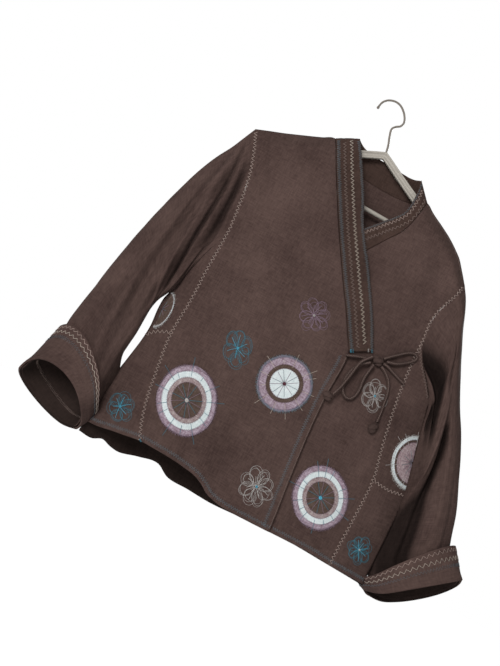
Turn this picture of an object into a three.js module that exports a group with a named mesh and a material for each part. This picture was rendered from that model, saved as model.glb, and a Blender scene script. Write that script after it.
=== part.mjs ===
// Kimono wrap jacket on a hanger. Millimetres, +Z up, +X towards the wearer's left, the front faces -Y.
// The origin is the inner top of the hanger's hook. Every cloth piece is a thin wall: its outer face is
// laid out on the jacket's form, and its inner face is that face moved in by the cloth's thickness.
import * as THREE from "three";

// ---------------------------------------------------------------- driving dimensions
const CLOTH = 1.6;            // wall of the single cloth
const BAND_CLOTH = 2.6;       // the neck band is folded double
const SEAM = 0.3;             // gap between two pieces at a seam
const ARMHOLE_SEAM = 2.1;     // gap at the curved armhole seams
const SIDE_STEP = 1.75;       // front and back edges stand this far from the middle plane
const CREST = 12;             // depth of the rounded shoulder crest, front and back
const CREST_DROP = 32;        // height over which the crest rounds off
const LENS = 4;               // how squarely the body's section fills out between its sides
const WRAP_LIFT = 6;          // the over front lies this far above the under front
const PATCH_STANDOFF = 0.6;   // gap from a panel to the ring sewn on it
const PATCH_CLOTH = 0.9;
const TIE = 5.6;              // diameter of the rolled tie
const TIE_STEP = 60;          // width over which a tie comes down from the over front to the under front
const WIRE = 3.6;             // hook wire
const HANGER = { x: 26, z: -85.5, depth: 9, height: 14, bar: 7.5, barDrop: 104.5, tilt: 1.4 };

const BROWN = 0x4e3d38;
const DARK_BROWN = 0x463733;
const AQUA = 0xb9ced0;
const GREY_WHITE = 0xd6d2cb;
const STEEL = 0xb5b1a8;

// ---------------------------------------------------------------- tables
const named = (names, table) =>
  table.map((row) => Object.fromEntries(names.map((name, i) => [name, row[i]])));

// Seams that run down the body: x at each height z.
const PRINCESS_RIGHT = named(["z", "x"], [
  [-160, -192], [-199, -176], [-237, -163], [-297, -152], [-350, -147], [-412, -148], [-479, -147],
  [-541, -149], [-577, -145], [-609, -140], [-643, -134], [-692, -121], [-722, -108]]);
const PRINCESS_LEFT = named(["z", "x"], [
  [-225, 252], [-255, 245], [-289, 232], [-319, 227], [-352, 230], [-391, 231], [-426, 234],
  [-460, 238], [-503, 245], [-546, 253], [-596, 264], [-642, 265], [-700, 264], [-756, 264]]);
const SIDE_RIGHT = named(["z", "x"], [
  [-470, -180], [-489, -189], [-512, -190], [-545, -187], [-569, -188], [-611, -194], [-642, -199],
  [-672, -202], [-704, -204], [-760, -208]]);
const SIDE_LEFT = named(["z", "x"], [
  [-434, 291], [-448, 293], [-464, 298], [-492, 305], [-515, 311], [-545, 318], [-566, 322],
  [-591, 327], [-618, 330], [-660, 332], [-709, 333], [-760, 334]]);
const BAND_SEAM = named(["z", "x"], [
  [-107, -64], [-147, -45], [-209, -11], [-254, 15], [-291, 38], [-327, 61], [-369, 89], [-405, 111],
  [-429, 126]]);
const WRAP_EDGE = named(["z", "x"], [
  [-429, 126], [-448, 129.5], [-481, 129], [-510, 128], [-542, 129], [-578, 131], [-614, 134],
  [-654, 138], [-690, 142], [-724, 146], [-760, 149]]);
const BAND_EDGE = named(["z", "x"], [
  [-87, -25], [-108, -14], [-148, 9], [-187, 31], [-218, 45], [-255, 68], [-290, 93], [-318, 111],
  [-362, 138], [-409, 163]]);
const UNDER_SEAM = named(["z", "x"], [
  [-130, 130], [-156, 125], [-185, 119], [-207, 110], [-223, 99], [-240, 88], [-260, 75], [-305, 46],
  [-370, 5], [-425, -34], [-460, -42], [-540, -44], [-640, -47], [-760, -52]]);
const UNDER_EDGE = named(["z", "x"], [
  [-100, 101], [-121, 104], [-143, 104], [-169, 100], [-186, 89], [-200, 77], [-215, 65], [-229, 53],
  [-282, 20], [-340, -22], [-405, -72]]);

// Armhole seams, front and back, from the shoulder tip to the underarm.
const ARMHOLE_RIGHT_FRONT = named(["z", "x"], [
  [-160, -192], [-199, -176], [-237, -163], [-297, -152], [-350, -147], [-385, -159], [-425, -170],
  [-470, -180]]);
const ARMHOLE_RIGHT_BACK = named(["z", "x"], [
  [-160, -192], [-199, -176], [-237, -164], [-300, -153], [-360, -152], [-415, -160], [-470, -180]]);
const ARMHOLE_LEFT_FRONT = named(["z", "x"], [
  [-225, 252], [-255, 245], [-289, 232], [-319, 227], [-352, 230], [-378, 243], [-405, 266], [-434, 291]]);
const ARMHOLE_LEFT_BACK = named(["z", "x"], [
  [-225, 252], [-255, 246], [-289, 236], [-325, 234], [-362, 241], [-398, 261], [-434, 291]]);

// Edges that run across: height z at each x.
const SHOULDER_RIGHT = named(["x", "z"], [
  [-192, -160], [-169, -151], [-145, -142], [-121, -132], [-88, -118], [-64, -107]]);
const SHOULDER_LEFT = named(["x", "z"], [
  [130, -130], [149, -142], [177, -157], [191, -165], [212, -180], [223, -189], [238, -207], [252, -225]]);
const BACK_NECK_SEAM = named(["x", "z"], [
  [-64, -107], [-45, -121], [-20, -134], [20, -142], [60, -144], [95, -142], [116, -137], [130, -130]]);
const BACK_NECK_EDGE = named(["x", "z"], [
  [-25, -87], [-12, -97], [10, -103], [45, -106], [75, -106], [92, -103], [101, -100]]);
const FRONT_HEM = named(["x", "z"], [
  [-208, -737], [-185, -736], [-158, -731], [-133, -727], [-107, -723], [-79, -723], [-50, -724],
  [-21, -727], [0, -731], [16, -738], [28, -746], [43, -751], [63, -754], [115, -754], [188, -752],
  [226, -752], [266, -755], [304, -756], [334, -757]]);
const BACK_HEM = named(["x", "z"], [
  [-209, -757], [-184, -759], [-168, -752], [-151, -757], [-134, -759], [-100, -750], [-65, -744],
  [-40, -757], [0, -759], [46, -761], [100, -758], [180, -755], [260, -757], [334, -759]]);
const SIDE_PANEL_TOP_RIGHT = named(["x", "z"], [
  [-180, -470], [-170, -425], [-159, -385], [-147, -350]]);
const SIDE_PANEL_TOP_LEFT = named(["x", "z"], [
  [230, -352], [243, -378], [266, -405], [291, -434]]);
const SIDE_SPLIT_RIGHT = named(["x", "z"], [[-188, -566], [-180, -556], [-166, -547], [-149, -541]]);
const SIDE_SPLIT_LEFT = named(["x", "z"], [[264, -597], [297, -599], [327, -593]]);

// The crown is the line over the shoulders and neck that the body's depth is measured down from.
const CROWN = named(["x", "z"], [
  [-260, -195], [-192, -160], [-145, -142], [-88, -118], [-64, -107], [-25, -87], [30, -72], [80, -80],
  [101, -100], [130, -130], [177, -157], [212, -180], [252, -225], [330, -330]]);
// The body's form at each height: where its depth runs out on either side, and how far it swells.
const FORM = named(["z", "right", "left", "front", "back"], [
  [-90, -250, 300, 0, 0],
  [-160, -250, 300, 10, 8],
  [-230, -255, 312, 20, 14],
  [-320, -250, 322, 26, 20],
  [-400, -220, 314, 29, 24],
  [-470, -188, 303, 31, 27],
  [-512, -192, 312, 33, 28],
  [-560, -190, 322, 34, 29],
  [-650, -200, 332, 38, 31],
  [-770, -209, 335, 42, 33]]);
// Large folds of the body: a line from (x0, z0) to (x1, z1), its half width and its height (a trough is
// negative).
const FRONT_FOLDS = named(["x0", "z0", "x1", "z1", "width", "rise"], [
  [-70, -560, -92, -790, 46, 13],
  [-165, -600, -178, -790, 22, -6],
  [40, -620, 26, -790, 26, -7],
  [-110, -200, -128, -420, 26, -4],
  [205, -200, 196, -330, 22, -6],
  [150, -190, 118, -300, 20, 4],
  [255, -470, 290, -600, 18, -4],
  [60, -190, -40, -520, 40, 3],
  [215, -640, 222, -790, 24, 4]]);
const BACK_FOLDS = named(["x0", "z0", "x1", "z1", "width", "rise"], [
  [-90, -480, -140, -790, 30, 9],
  [-65, -600, -62, -790, 18, -8],
  [20, -430, 10, -790, 34, 6],
  [120, -500, 132, -790, 28, -6],
  [215, -470, 236, -790, 30, 7],
  [-110, -210, -60, -460, 28, -5],
  [190, -260, 150, -480, 26, -5]]);

// Sleeves: each section runs from the outer edge (ox, oz) to the inner edge (ix, iz), stands round y, and
// reaches `front` and `back` from there. `rise` and `fall` shift its front and back up the sleeve.
const SECTION = ["ox", "oz", "ix", "iz", "y", "front", "back", "rise", "fall"];
const SLEEVE_RIGHT = named(SECTION, [
  [-193, -157, -180, -472, 0, 33, 30, 28, 28],
  [-213, -205, -185, -478, -1, 35, 31, 24, 20],
  [-238, -258, -194, -491, -3, 36, 31, 20, 12],
  [-262, -335, -201, -512, -5, 36, 31, 16, 8],
  [-280, -411, -202, -540, -7, 35, 32, 14, 6],
  [-293, -481, -202, -576, -9, 34, 33, 14, 4],
  [-301, -541, -205, -614, -12, 35, 33, 16, 2],
  [-309, -594, -208, -655, -15, 35, 33, 22, 0],
  [-311, -634, -211, -694, -18, 35, 34, 30, -4],
  [-320, -672, -217, -726, -20, 36, 35, 40, -10],
  [-338, -709, -225, -751.5, -22, 41, 40, 55, -18.5]]);
const SLEEVE_LEFT = named(SECTION, [
  [253, -224, 293, -436, 0, 34, 30, 0, 0],
  [269, -252, 299, -444, 0, 38, 32, 2, 2],
  [286, -295, 304, -456, 1, 41, 33, 5, 4],
  [312, -352, 310, -478, 2, 42, 34, 8, 6],
  [343, -415, 315.5, -514, 3, 40, 35, 6, 4],
  [372, -468, 323.5, -552, 4, 38, 36, 5, 2],
  [398, -525, 329.5, -592, 5, 37, 37, 5, 0],
  [420, -580, 334, -636, 6, 37, 37, 5, -4],
  [432, -622, 336, -680, 6, 37, 36, 5, -8],
  [444, -646, 339, -721, 6, 37, 36, 4, -14],
  [475, -673, 363, -757, 6, 41.2, 39.2, 5, -25]]);
const CUFF_RIGHT = named(SECTION, [
  [-318, -620, -210, -722, -17, 44, 42, 42, 6],
  [-324, -646, -211, -730, -18, 45, 43, 44, 0],
  [-332, -680, -214, -742, -20, 45, 43, 50, -8],
  [-341, -712, -222, -754, -22, 44, 42, 58, -19]]);
const CUFF_LEFT = named(SECTION, [
  [446, -629, 340.5, -752, 6, 47, 44, 18, -6],
  [457, -643, 344, -758, 6, 47, 44, 14, -12],
  [468, -658, 351, -762, 6, 46, 43, 10, -18],
  [479, -673, 361, -764, 6, 44, 42, 6, -26]]);
// Folds that run along a sleeve: from (turn0, along0) to (turn1, along1), where turn is degrees round the
// sleeve from its outer edge over the front, and along is 0 at the armhole and 1 at the cuff.
const SLEEVE_FOLD = ["turn0", "along0", "turn1", "along1", "width", "rise"];
const SLEEVE_RIGHT_FOLDS = named(SLEEVE_FOLD, [
  [28, 0.04, 92, 0.62, 9, 7],
  [46, 0.05, 108, 0.55, 9, -9],
  [78, 0.06, 124, 0.42, 12, 6],
  [104, 0.02, 140, 0.36, 11, -9],
  [60, 0.55, 74, 0.86, 14, -5],
  [250, 0.05, 292, 0.60, 14, -6],
  [228, 0.12, 250, 0.70, 14, 5]]);
const SLEEVE_LEFT_FOLDS = named(SLEEVE_FOLD, [
  [98, 0.08, 136, 0.46, 15, 6],
  [136, 0.16, 157, 0.50, 12, -7],
  [44, 0.22, 60, 0.95, 12, 4],
  [84, 0.46, 92, 0.96, 14, -6],
  [124, 0.42, 128, 0.92, 13, 5],
  [236, 0.10, 280, 0.62, 15, -6],
  [300, 0.30, 312, 0.90, 14, 5]]);

// Rings of cloth sewn on: centre, half width, half height and tilt; a half ring keeps one side of a line.
const PATCHES = named(["name", "x", "z", "across", "up", "tilt", "from", "to", "panel"], [
  ["ring_patch_hem_right", -71, -629, 49, 58, 28, 0, 360, "over"],
  ["ring_patch_wrap", 57, -528, 46, 47, 0, 0, 360, "over"],
  ["ring_patch_hem_left", 197.5, -664.5, 46, 52, 28, 0, 360, "under"],
  ["half_patch_left", 312.5, -539, 38, 46, 14.5, 90, 270, "under"],
  ["half_patch_right", -181.5, -512, 16, 33, 2, -90, 90, "over"]]);

// Ties: points (x, z) and how far their middle stands off the cloth.
const TIES = {
  tie_band_run: [[125, -437, 3.4], [134, -433.5, 3.6], [143, -430, 3.8], [154, -426, 5], [164.5, -422.5, 7]],
  tie_side_run: [[233, -431, 3.6], [221, -428, 3.8], [208, -424, 4.6], [196, -420, 6], [187, -419, 6.5]],
  tie_loop_right: [[183, -412, 9.5], [199, -397, 8], [218, -381, 5], [230, -379, 3.6], [233, -386, 3.6],
    [222, -398, 5], [206, -409, 8], [190.5, -414, 10]],
  tie_loop_left: [[166, -428.5, 10.5], [152, -440, 7], [143, -458, 4], [142, -480, 3.4], [152, -497, 3.4],
    [165, -497, 4], [171, -482, 5], [169, -455, 8], [172.5, -429, 9.5]],
  tie_tail_left: [[164, -419, 15], [151, -437, 14], [146, -463, 10], [141, -488, 9], [135, -505, 6.5]],
  tie_tail_right: [[186, -425, 7.5], [197, -431, 6], [209, -442, 4.5], [216, -458, 3.6], [219.5, -478, 3.4],
    [222, -498, 3.6], [222.5, -510, 5]] };
const KNOTS = named(["name", "x", "z", "off", "across", "up", "deep", "tilt"], [
  ["tie_knot", 175.5, -419.5, 8.8, 11.4, 8, 8.4, 12],
  ["tail_knot_left", 129, -511.5, 7, 10, 7.4, 6.2, 20],
  ["tail_knot_right", 221.5, -521, 6.5, 8, 10.4, 5.8, 18]]);

// Hanger arm: how far its top edge has dropped at each distance from the middle.
const ARM = named(["along", "drop"], [
  [0, 0], [8, 3.6], [40, 19.5], [70, 34], [104, 49.5], [123, 59.5], [151, 74.5], [165, 83], [184, 99]]);
const HOOK_WIRE = [[25.5, -85.1], [22.5, -72], [17.5, -58], [14.5, -45], [19, -37.5], [26, -32], [28, -23],
  [22, -11], [11, -1], [-1, 2.2], [-13, -1.2], [-21, -9], [-24, -19]];
const HOOK_TIP = 2.6;         // radius of the ball on the wire's end
const UNDERCUT = 0.985;       // the arms' lower edges are this much shorter than their tops

// ---------------------------------------------------------------- curves and form
const mix = (a, b, t) => a + (b - a) * t;
const clamp01 = (t) => Math.min(1, Math.max(0, t));
const ease = (t) => clamp01(t) ** 2 * (3 - 2 * clamp01(t));
const radians = (degrees) => degrees * Math.PI / 180;

/** The smooth line through a table: column `out` as a function of column `key`. */
function line(table, key, out) {
  const rows = [...table].sort((a, b) => a[key] - b[key]);
  const k = rows.map((row) => row[key]);
  const v = rows.map((row) => row[out]);
  const last = rows.length - 1;
  const chord = (i) => (v[i + 1] - v[i]) / (k[i + 1] - k[i]);
  const slope = (i) => i === 0 ? chord(0) : i === last ? chord(last - 1) : (chord(i - 1) + chord(i)) / 2;
  return (at) => {
    if (at <= k[0]) return v[0] + slope(0) * (at - k[0]);
    if (at >= k[last]) return v[last] + slope(last) * (at - k[last]);
    let i = 0;
    while (at > k[i + 1]) i++;
    const step = k[i + 1] - k[i];
    const t = (at - k[i]) / step;
    return v[i] * (2 * t ** 3 - 3 * t ** 2 + 1) + v[i + 1] * (3 * t ** 2 - 2 * t ** 3)
      + step * (slope(i) * (t ** 3 - 2 * t ** 2 + t) + slope(i + 1) * (t ** 3 - t ** 2));
  };
}
const down = (table) => line(table, "z", "x");
const across = (table) => line(table, "x", "z");

const overEdge = down([...BAND_SEAM, ...WRAP_EDGE.slice(1)]);
const crown = across(CROWN);
const form = Object.fromEntries(["right", "left", "front", "back"].map((c) => [c, line(FORM, "z", c)]));

/** Height of a fold at a point: a soft ridge or trough along its line, fading at both ends. */
function foldHeight(fold, a, b, a0, b0, a1, b1) {
  const length = Math.hypot(a1 - a0, b1 - b0);
  const t = ((a - a0) * (a1 - a0) + (b - b0) * (b1 - b0)) / length ** 2;
  const away = ((a - a0) * (b1 - b0) - (b - b0) * (a1 - a0)) / length;
  return fold.rise * Math.exp(-((away / fold.width) ** 2)) * ease((t + 0.15) / 0.4) * ease((1.15 - t) / 0.4);
}

/** How far the body's outer face stands from the middle plane, on its front or back. */
function bodyDepth(x, z, part) {
  const drop = clamp01((crown(x) - z) / CREST_DROP);
  const middle = (form.left(z) + form.right(z)) / 2;
  const half = (form.left(z) - form.right(z)) / 2;
  const fill = Math.max(0, 1 - Math.abs((x - middle) / half) ** LENS);
  const folds = (part === "back" ? BACK_FOLDS : FRONT_FOLDS)
    .reduce((sum, f) => sum + foldHeight(f, x, z, f.x0, f.z0, f.x1, f.z1), 0);
  const crest = CREST * (1 - (1 - drop) ** 3);
  return SIDE_STEP + fill * (crest + (form[part](z) + folds) * ease(drop));
}
const overLift = (x, z) => WRAP_LIFT * ease((x + 150) / 90) * ease((crown(x) - z) / 60);

/** The outer face at (x, z): layer is "over", "under" or "back"; out moves it off the cloth. */
function face(layer, x, z, out = 0) {
  if (layer === "back") return bodyDepth(x, z, "back") + out;
  return -(bodyDepth(x, z, "front") + (layer === "over" ? overLift(x, z) : 0) + out);
}
/** The front that a tie lies on: the over front as far as its edge, then the under front. */
function tieBase(x, z, out) {
  const step = ease((overEdge(z) + TIE_STEP - x) / TIE_STEP);
  return mix(face("under", x, z, out), face("over", x, z, out), step);
}
/** A point of the outer face, moved `out` along the cloth's normal. */
function onFace(layer, x, z, out = 0, level = 0) {
  const d = 0.5;
  const y = face(layer, x, z, level);
  const slopeX = (face(layer, x + d, z, level) - face(layer, x - d, z, level)) / (2 * d);
  const slopeZ = (face(layer, x, z + d, level) - face(layer, x, z - d, level)) / (2 * d);
  const side = layer === "back" ? 1 : -1;
  const normal = new THREE.Vector3(-slopeX * side, side, -slopeZ * side).normalize();
  return new THREE.Vector3(x, y, z).addScaledVector(normal, out);
}

// ---------------------------------------------------------------- meshes
/** A closed wall from a grid of outer points and its grid of inner points; a tube's rows close up. */
function wallGeometry(outer, inner, tube = false) {
  const rows = outer.length;
  const columns = outer[0].length;
  const points = [...outer.flat(), ...inner.flat()];
  const index = [];
  const skin = rows * columns;
  const quad = (a, b, c, d) => index.push(a, b, c, a, c, d);
  const at = (r, c) => r * columns + (c % columns);
  const lastColumn = tube ? columns : columns - 1;
  for (let r = 0; r < rows - 1; r++) {
    for (let c = 0; c < lastColumn; c++) {
      quad(at(r, c), at(r, c + 1), at(r + 1, c + 1), at(r + 1, c));
      quad(skin + at(r, c), skin + at(r + 1, c), skin + at(r + 1, c + 1), skin + at(r, c + 1));
    }
    if (!tube) {
      quad(at(r, 0), at(r + 1, 0), skin + at(r + 1, 0), skin + at(r, 0));
      quad(at(r, lastColumn), skin + at(r, lastColumn), skin + at(r + 1, lastColumn), at(r + 1, lastColumn));
    }
  }
  for (let c = 0; c < lastColumn; c++) {
    quad(at(0, c), skin + at(0, c), skin + at(0, c + 1), at(0, c + 1));
    quad(at(rows - 1, c), at(rows - 1, c + 1), skin + at(rows - 1, c + 1), skin + at(rows - 1, c));
  }
  return outward(points, index);
}

/** The geometry with its faces turned so that they point out. */
function outward(points, index) {
  let volume = 0;
  for (let i = 0; i < index.length; i += 3) {
    const [a, b, c] = [points[index[i]], points[index[i + 1]], points[index[i + 2]]];
    volume += a.dot(new THREE.Vector3().crossVectors(b, c));
  }
  const geometry = new THREE.BufferGeometry().setFromPoints(points);
  geometry.setIndex(volume < 0 ? index.reverse() : index);
  geometry.computeVertexNormals();
  return geometry;
}

const garment = new THREE.Group();
function add(name, geometry, color, roughness = 0.92, metalness = 0) {
  const mesh = new THREE.Mesh(geometry, new THREE.MeshStandardMaterial({ color, roughness, metalness }));
  mesh.name = name;
  garment.add(mesh);
  return mesh;
}

/**
 * A cloth panel between a left and a right seam and a top and a bottom edge. corners holds the heights of
 * the upper left, upper right, lower left and lower right corners; gaps, the seam gaps at its sides, top
 * and bottom.
 */
function panel(name, { layer, left, right, top, bottom, corners, cells, color = BROWN, cloth = CLOTH,
  level = 0, gaps = [SEAM / 2, 0, 0] }) {
  const [topLeft, topRight, lowLeft, lowRight] = corners;
  const outer = [];
  const inner = [];
  for (let j = 0; j <= cells[1]; j++) {
    const r = j / cells[1];
    const [zl, zr] = [mix(topLeft, lowLeft, r), mix(topRight, lowRight, r)];
    outer.push([]);
    inner.push([]);
    for (let i = 0; i <= cells[0]; i++) {
      const s = i / cells[0];
      const x = mix(left(zl) + gaps[0], right(zr) - gaps[0], s);
      const topX = mix(left(topLeft), right(topRight), s);
      const lowX = mix(left(lowLeft), right(lowRight), s);
      const z = mix(zl, zr, s) + (top(topX) - mix(topLeft, topRight, s) - gaps[1]) * (1 - r)
        + (bottom(lowX) - mix(lowLeft, lowRight, s) + gaps[2]) * r;
      outer[j].push(onFace(layer, x, z, 0, level));
      inner[j].push(onFace(layer, x, z, -cloth, level));
    }
  }
  add(name, wallGeometry(outer, inner), color);
}

// ---------------------------------------------------------------- body
const straight = (z0, x0, z1, x1) => (z) => mix(x0, x1, (z - z0) / (z1 - z0));
const level = (x0, z0, x1, z1) => (x) => mix(z0, z1, (x - x0) / (x1 - x0));
const HALF = SEAM / 2;

function buildBody() {
  const hem = across(FRONT_HEM);
  panel("front_over", { layer: "over", left: down(PRINCESS_RIGHT), right: overEdge,
    top: across(SHOULDER_RIGHT), bottom: hem, corners: [-160, -107, -723, -753], cells: [12, 25] });
  panel("front_under", { layer: "under", left: down(UNDER_SEAM), right: down(PRINCESS_LEFT),
    top: across(SHOULDER_LEFT), bottom: hem, corners: [-130, -225, -724, -755], cells: [11, 24] });
  panel("side_front_upper_right", { layer: "over", left: down(SIDE_RIGHT), right: down(PRINCESS_RIGHT),
    top: across(SIDE_PANEL_TOP_RIGHT), bottom: across(SIDE_SPLIT_RIGHT), corners: [-470, -350, -566, -541],
    cells: [5, 9], gaps: [HALF, 2 * ARMHOLE_SEAM, HALF] });
  panel("side_front_lower_right", { layer: "over", left: down(SIDE_RIGHT), right: down(PRINCESS_RIGHT),
    top: across(SIDE_SPLIT_RIGHT), bottom: hem, corners: [-566, -541, -737, -723], cells: [5, 9],
    gaps: [HALF, HALF, 0] });
  panel("side_front_upper_left", { layer: "under", left: down(PRINCESS_LEFT), right: down(SIDE_LEFT),
    top: across(SIDE_PANEL_TOP_LEFT), bottom: across(SIDE_SPLIT_LEFT), corners: [-352, -434, -597, -593],
    cells: [6, 11], gaps: [SEAM, 2 * ARMHOLE_SEAM, HALF] });
  panel("side_front_lower_left", { layer: "under", left: down(PRINCESS_LEFT), right: down(SIDE_LEFT),
    top: across(SIDE_SPLIT_LEFT), bottom: hem, corners: [-597, -593, -755, -757], cells: [6, 8],
    gaps: [HALF, HALF, 0] });

  // The back is one cloth: its sides are the armholes above the underarms and the side seams below.
  const backTop = across([...SHOULDER_RIGHT, ...BACK_NECK_SEAM.slice(1, -1), ...SHOULDER_LEFT]);
  panel("back", { layer: "back", left: down([...ARMHOLE_RIGHT_BACK, ...SIDE_RIGHT.slice(1)]),
    right: down([...ARMHOLE_LEFT_BACK, ...SIDE_LEFT.slice(1)]), top: backTop, bottom: across(BACK_HEM),
    corners: [-160, -225, -757, -759], cells: [19, 24] });
}

function buildBand() {
  const band = { color: DARK_BROWN, cloth: BAND_CLOTH, level: 1.1, gaps: [3 * SEAM, 0, 0] };
  panel("neck_band_over", { ...band, layer: "over", left: down(BAND_SEAM), right: down(BAND_EDGE),
    top: level(-64, -107, -25, -87), bottom: level(126, -429, 163, -409),
    corners: [-107, -87, -429, -409], cells: [3, 18] });
  panel("neck_band_under", { ...band, layer: "under", left: down(UNDER_EDGE),
    right: down(UNDER_SEAM), top: level(101, -100, 130, -130), bottom: level(-72, -405, -34, -425),
    corners: [-100, -130, -405, -425], cells: [3, 18] });
  panel("neck_band_back", { ...band, layer: "back", left: straight(-87, -25, -107, -64),
    right: straight(-100, 101, -130, 130), top: across(BACK_NECK_EDGE), bottom: across(BACK_NECK_SEAM),
    corners: [-87, -100, -107, -130], cells: [12, 3], gaps: [SEAM, 0, 1.7] });
}

// ---------------------------------------------------------------- sleeves
/** A tube through a table of sections: its point at a turn in radians and a place along it. */
function tubeForm(sections, folds = []) {
  const columns = sections.map((row, i) => ({ ...row, at: i / (sections.length - 1) }));
  const value = Object.fromEntries(SECTION.map((c) => [c, line(columns, "at", c)]));
  const [first, last] = [sections[0], sections.at(-1)];
  const upTheSleeve = new THREE.Vector2(
    first.ox + first.ix - last.ox - last.ix, first.oz + first.iz - last.oz - last.iz);
  return (turn, along) => {
    const v = Object.fromEntries(SECTION.map((c) => [c, value[c](along)]));
    const outerEdge = new THREE.Vector2(v.ox, v.oz);
    const innerEdge = new THREE.Vector2(v.ix, v.iz);
    const reach = innerEdge.clone().sub(outerEdge);
    const up = new THREE.Vector2(-reach.y, reach.x).normalize();
    if (up.dot(upTheSleeve) < 0) up.negate();
    const front = Math.sin(turn) >= 0;
    const bulge = Math.abs(Math.sin(turn)) ** 0.8;
    const middle = outerEdge.clone().add(innerEdge).multiplyScalar(0.5);
    const p = middle.addScaledVector(reach, -Math.cos(turn) / 2)
      .addScaledVector(up, bulge * (front ? v.rise : v.fall));
    const degrees = THREE.MathUtils.euclideanModulo(turn * 180 / Math.PI, 360);
    const fold = folds.reduce((sum, f) =>
      sum + foldHeight(f, degrees, along * 100, f.turn0, f.along0 * 100, f.turn1, f.along1 * 100), 0);
    const y = v.y + (front ? -1 : 1) * (bulge * (front ? v.front : v.back) + fold * bulge);
    return new THREE.Vector3(p.x, y, p.y);
  };
}

/** The sleeve's form with its upper end led into the armhole seam. */
function sleeveForm(sections, folds, armholeFront, armholeBack, layer, outSide) {
  const tube = tubeForm(sections, folds);
  const seamFront = down(armholeFront);
  const seamBack = down(armholeBack);
  const tipZ = armholeFront[0].z;
  const underarmZ = armholeFront.at(-1).z;
  const armhole = (turn) => {
    const z = mix(tipZ, underarmZ, (1 - Math.cos(turn)) / 2);
    const front = Math.sin(turn) >= 0;
    const seam = front ? seamFront : seamBack;
    const x = seam(z);
    const gap = ARMHOLE_SEAM * Math.hypot(1, seam(z + 0.5) - seam(z - 0.5));
    return new THREE.Vector3(x + outSide * gap, face(front ? layer : "back", x, z), z);
  };
  return (turn, along) => {
    const lead = (1 - ease(along / 0.22)) ** 1.4;
    const start = armhole(turn).sub(tube(turn, 0));
    return tube(turn, along).addScaledVector(start, lead);
  };
}

/** A tube of cloth: rings along a form, with its inner face moved in by the cloth's thickness. */
function tubeWall(name, shape, rings, turns, cloth, color, from = 0, to = 1) {
  const outer = [];
  const inner = [];
  const d = 0.02;
  for (let j = 0; j <= rings; j++) {
    const along = mix(from, to, j / rings);
    outer.push([]);
    inner.push([]);
    for (let i = 0; i < turns; i++) {
      const turn = 2 * Math.PI * (i + 0.5) / turns;
      const p = shape(turn, along);
      const round = shape(turn + d, along).sub(shape(turn - d, along));
      const length = shape(turn, along + d).sub(shape(turn, along - d));
      const normal = new THREE.Vector3().crossVectors(round, length).normalize();
      const front = Math.sin(turn) >= 0;
      if (front === (normal.y > 0) && Math.abs(Math.sin(turn)) > 0.3) normal.negate();
      if (Math.abs(Math.sin(turn)) <= 0.3) {
        const centre = shape(turn + Math.PI, along).add(p).multiplyScalar(0.5);
        if (normal.dot(p.clone().sub(centre)) < 0) normal.negate();
      }
      outer[j].push(p);
      inner[j].push(p.clone().addScaledVector(normal, -cloth));
    }
  }
  add(name, wallGeometry(outer, inner, true), color);
}

function buildSleeves() {
  const right = sleeveForm(SLEEVE_RIGHT, SLEEVE_RIGHT_FOLDS, ARMHOLE_RIGHT_FRONT, ARMHOLE_RIGHT_BACK,
    "over", -1);
  const left = sleeveForm(SLEEVE_LEFT, SLEEVE_LEFT_FOLDS, ARMHOLE_LEFT_FRONT, ARMHOLE_LEFT_BACK,
    "under", 1);
  tubeWall("sleeve_right", right, 16, 26, CLOTH, BROWN);
  tubeWall("sleeve_left", left, 16, 26, CLOTH, BROWN);
  tubeWall("cuff_right", tubeForm(CUFF_RIGHT), 3, 26, CLOTH, BROWN);
  tubeWall("cuff_left", tubeForm(CUFF_LEFT), 3, 26, CLOTH, BROWN);
}

// ---------------------------------------------------------------- rings sewn on
function buildPatches() {
  const rings = 3;
  const hole = 0.06;          // the walls close round a pinhole at the centre
  for (const patch of PATCHES) {
    const whole = patch.to - patch.from === 360;
    const turns = whole ? 24 : 12;
    const outer = [];
    const inner = [];
    for (let j = 0; j <= rings; j++) {
      const reach = mix(hole, 1, j / rings);
      outer.push([]);
      inner.push([]);
      for (let i = 0; i < (whole ? turns : turns + 1); i++) {
        const a = radians(mix(patch.from, patch.to, i / turns));
        const tilt = radians(patch.tilt);
        const u = patch.across * reach * Math.cos(a);
        const w = patch.up * reach * Math.sin(a);
        const x = patch.x + u * Math.cos(tilt) - w * Math.sin(tilt);
        const z = patch.z + u * Math.sin(tilt) + w * Math.cos(tilt);
        outer[j].push(onFace(patch.panel, x, z, PATCH_STANDOFF + PATCH_CLOTH));
        inner[j].push(onFace(patch.panel, x, z, PATCH_STANDOFF));
      }
    }
    add(patch.name, wallGeometry(outer, inner, whole), AQUA, 0.85);
  }
}

// ---------------------------------------------------------------- ties
function buildTies() {
  const sides = 8;
  const round = new THREE.Shape(Array.from({ length: sides }, (_, i) => {
    const a = 2 * Math.PI * i / sides;
    return new THREE.Vector2(TIE / 2 * Math.cos(a), TIE / 2 * Math.sin(a));
  }));
  for (const [name, points] of Object.entries(TIES)) {
    const route = new THREE.CatmullRomCurve3(points.map(([x, z, off]) =>
      new THREE.Vector3(x, tieBase(x, z, off), z)));
    const steps = Math.max(6, Math.round(route.getLength() / (2.2 * TIE)));
    add(name, new THREE.ExtrudeGeometry(round, { steps, bevelEnabled: false, extrudePath: route }), BROWN);
  }
  for (const knot of KNOTS) {
    const ball = new THREE.SphereGeometry(1, 12, 8).scale(knot.across, knot.deep, knot.up);
    const mesh = add(knot.name, ball, BROWN);
    mesh.rotation.y = radians(knot.tilt);
    mesh.position.set(knot.x, tieBase(knot.x, knot.z, knot.off), knot.z);
  }
}

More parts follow.
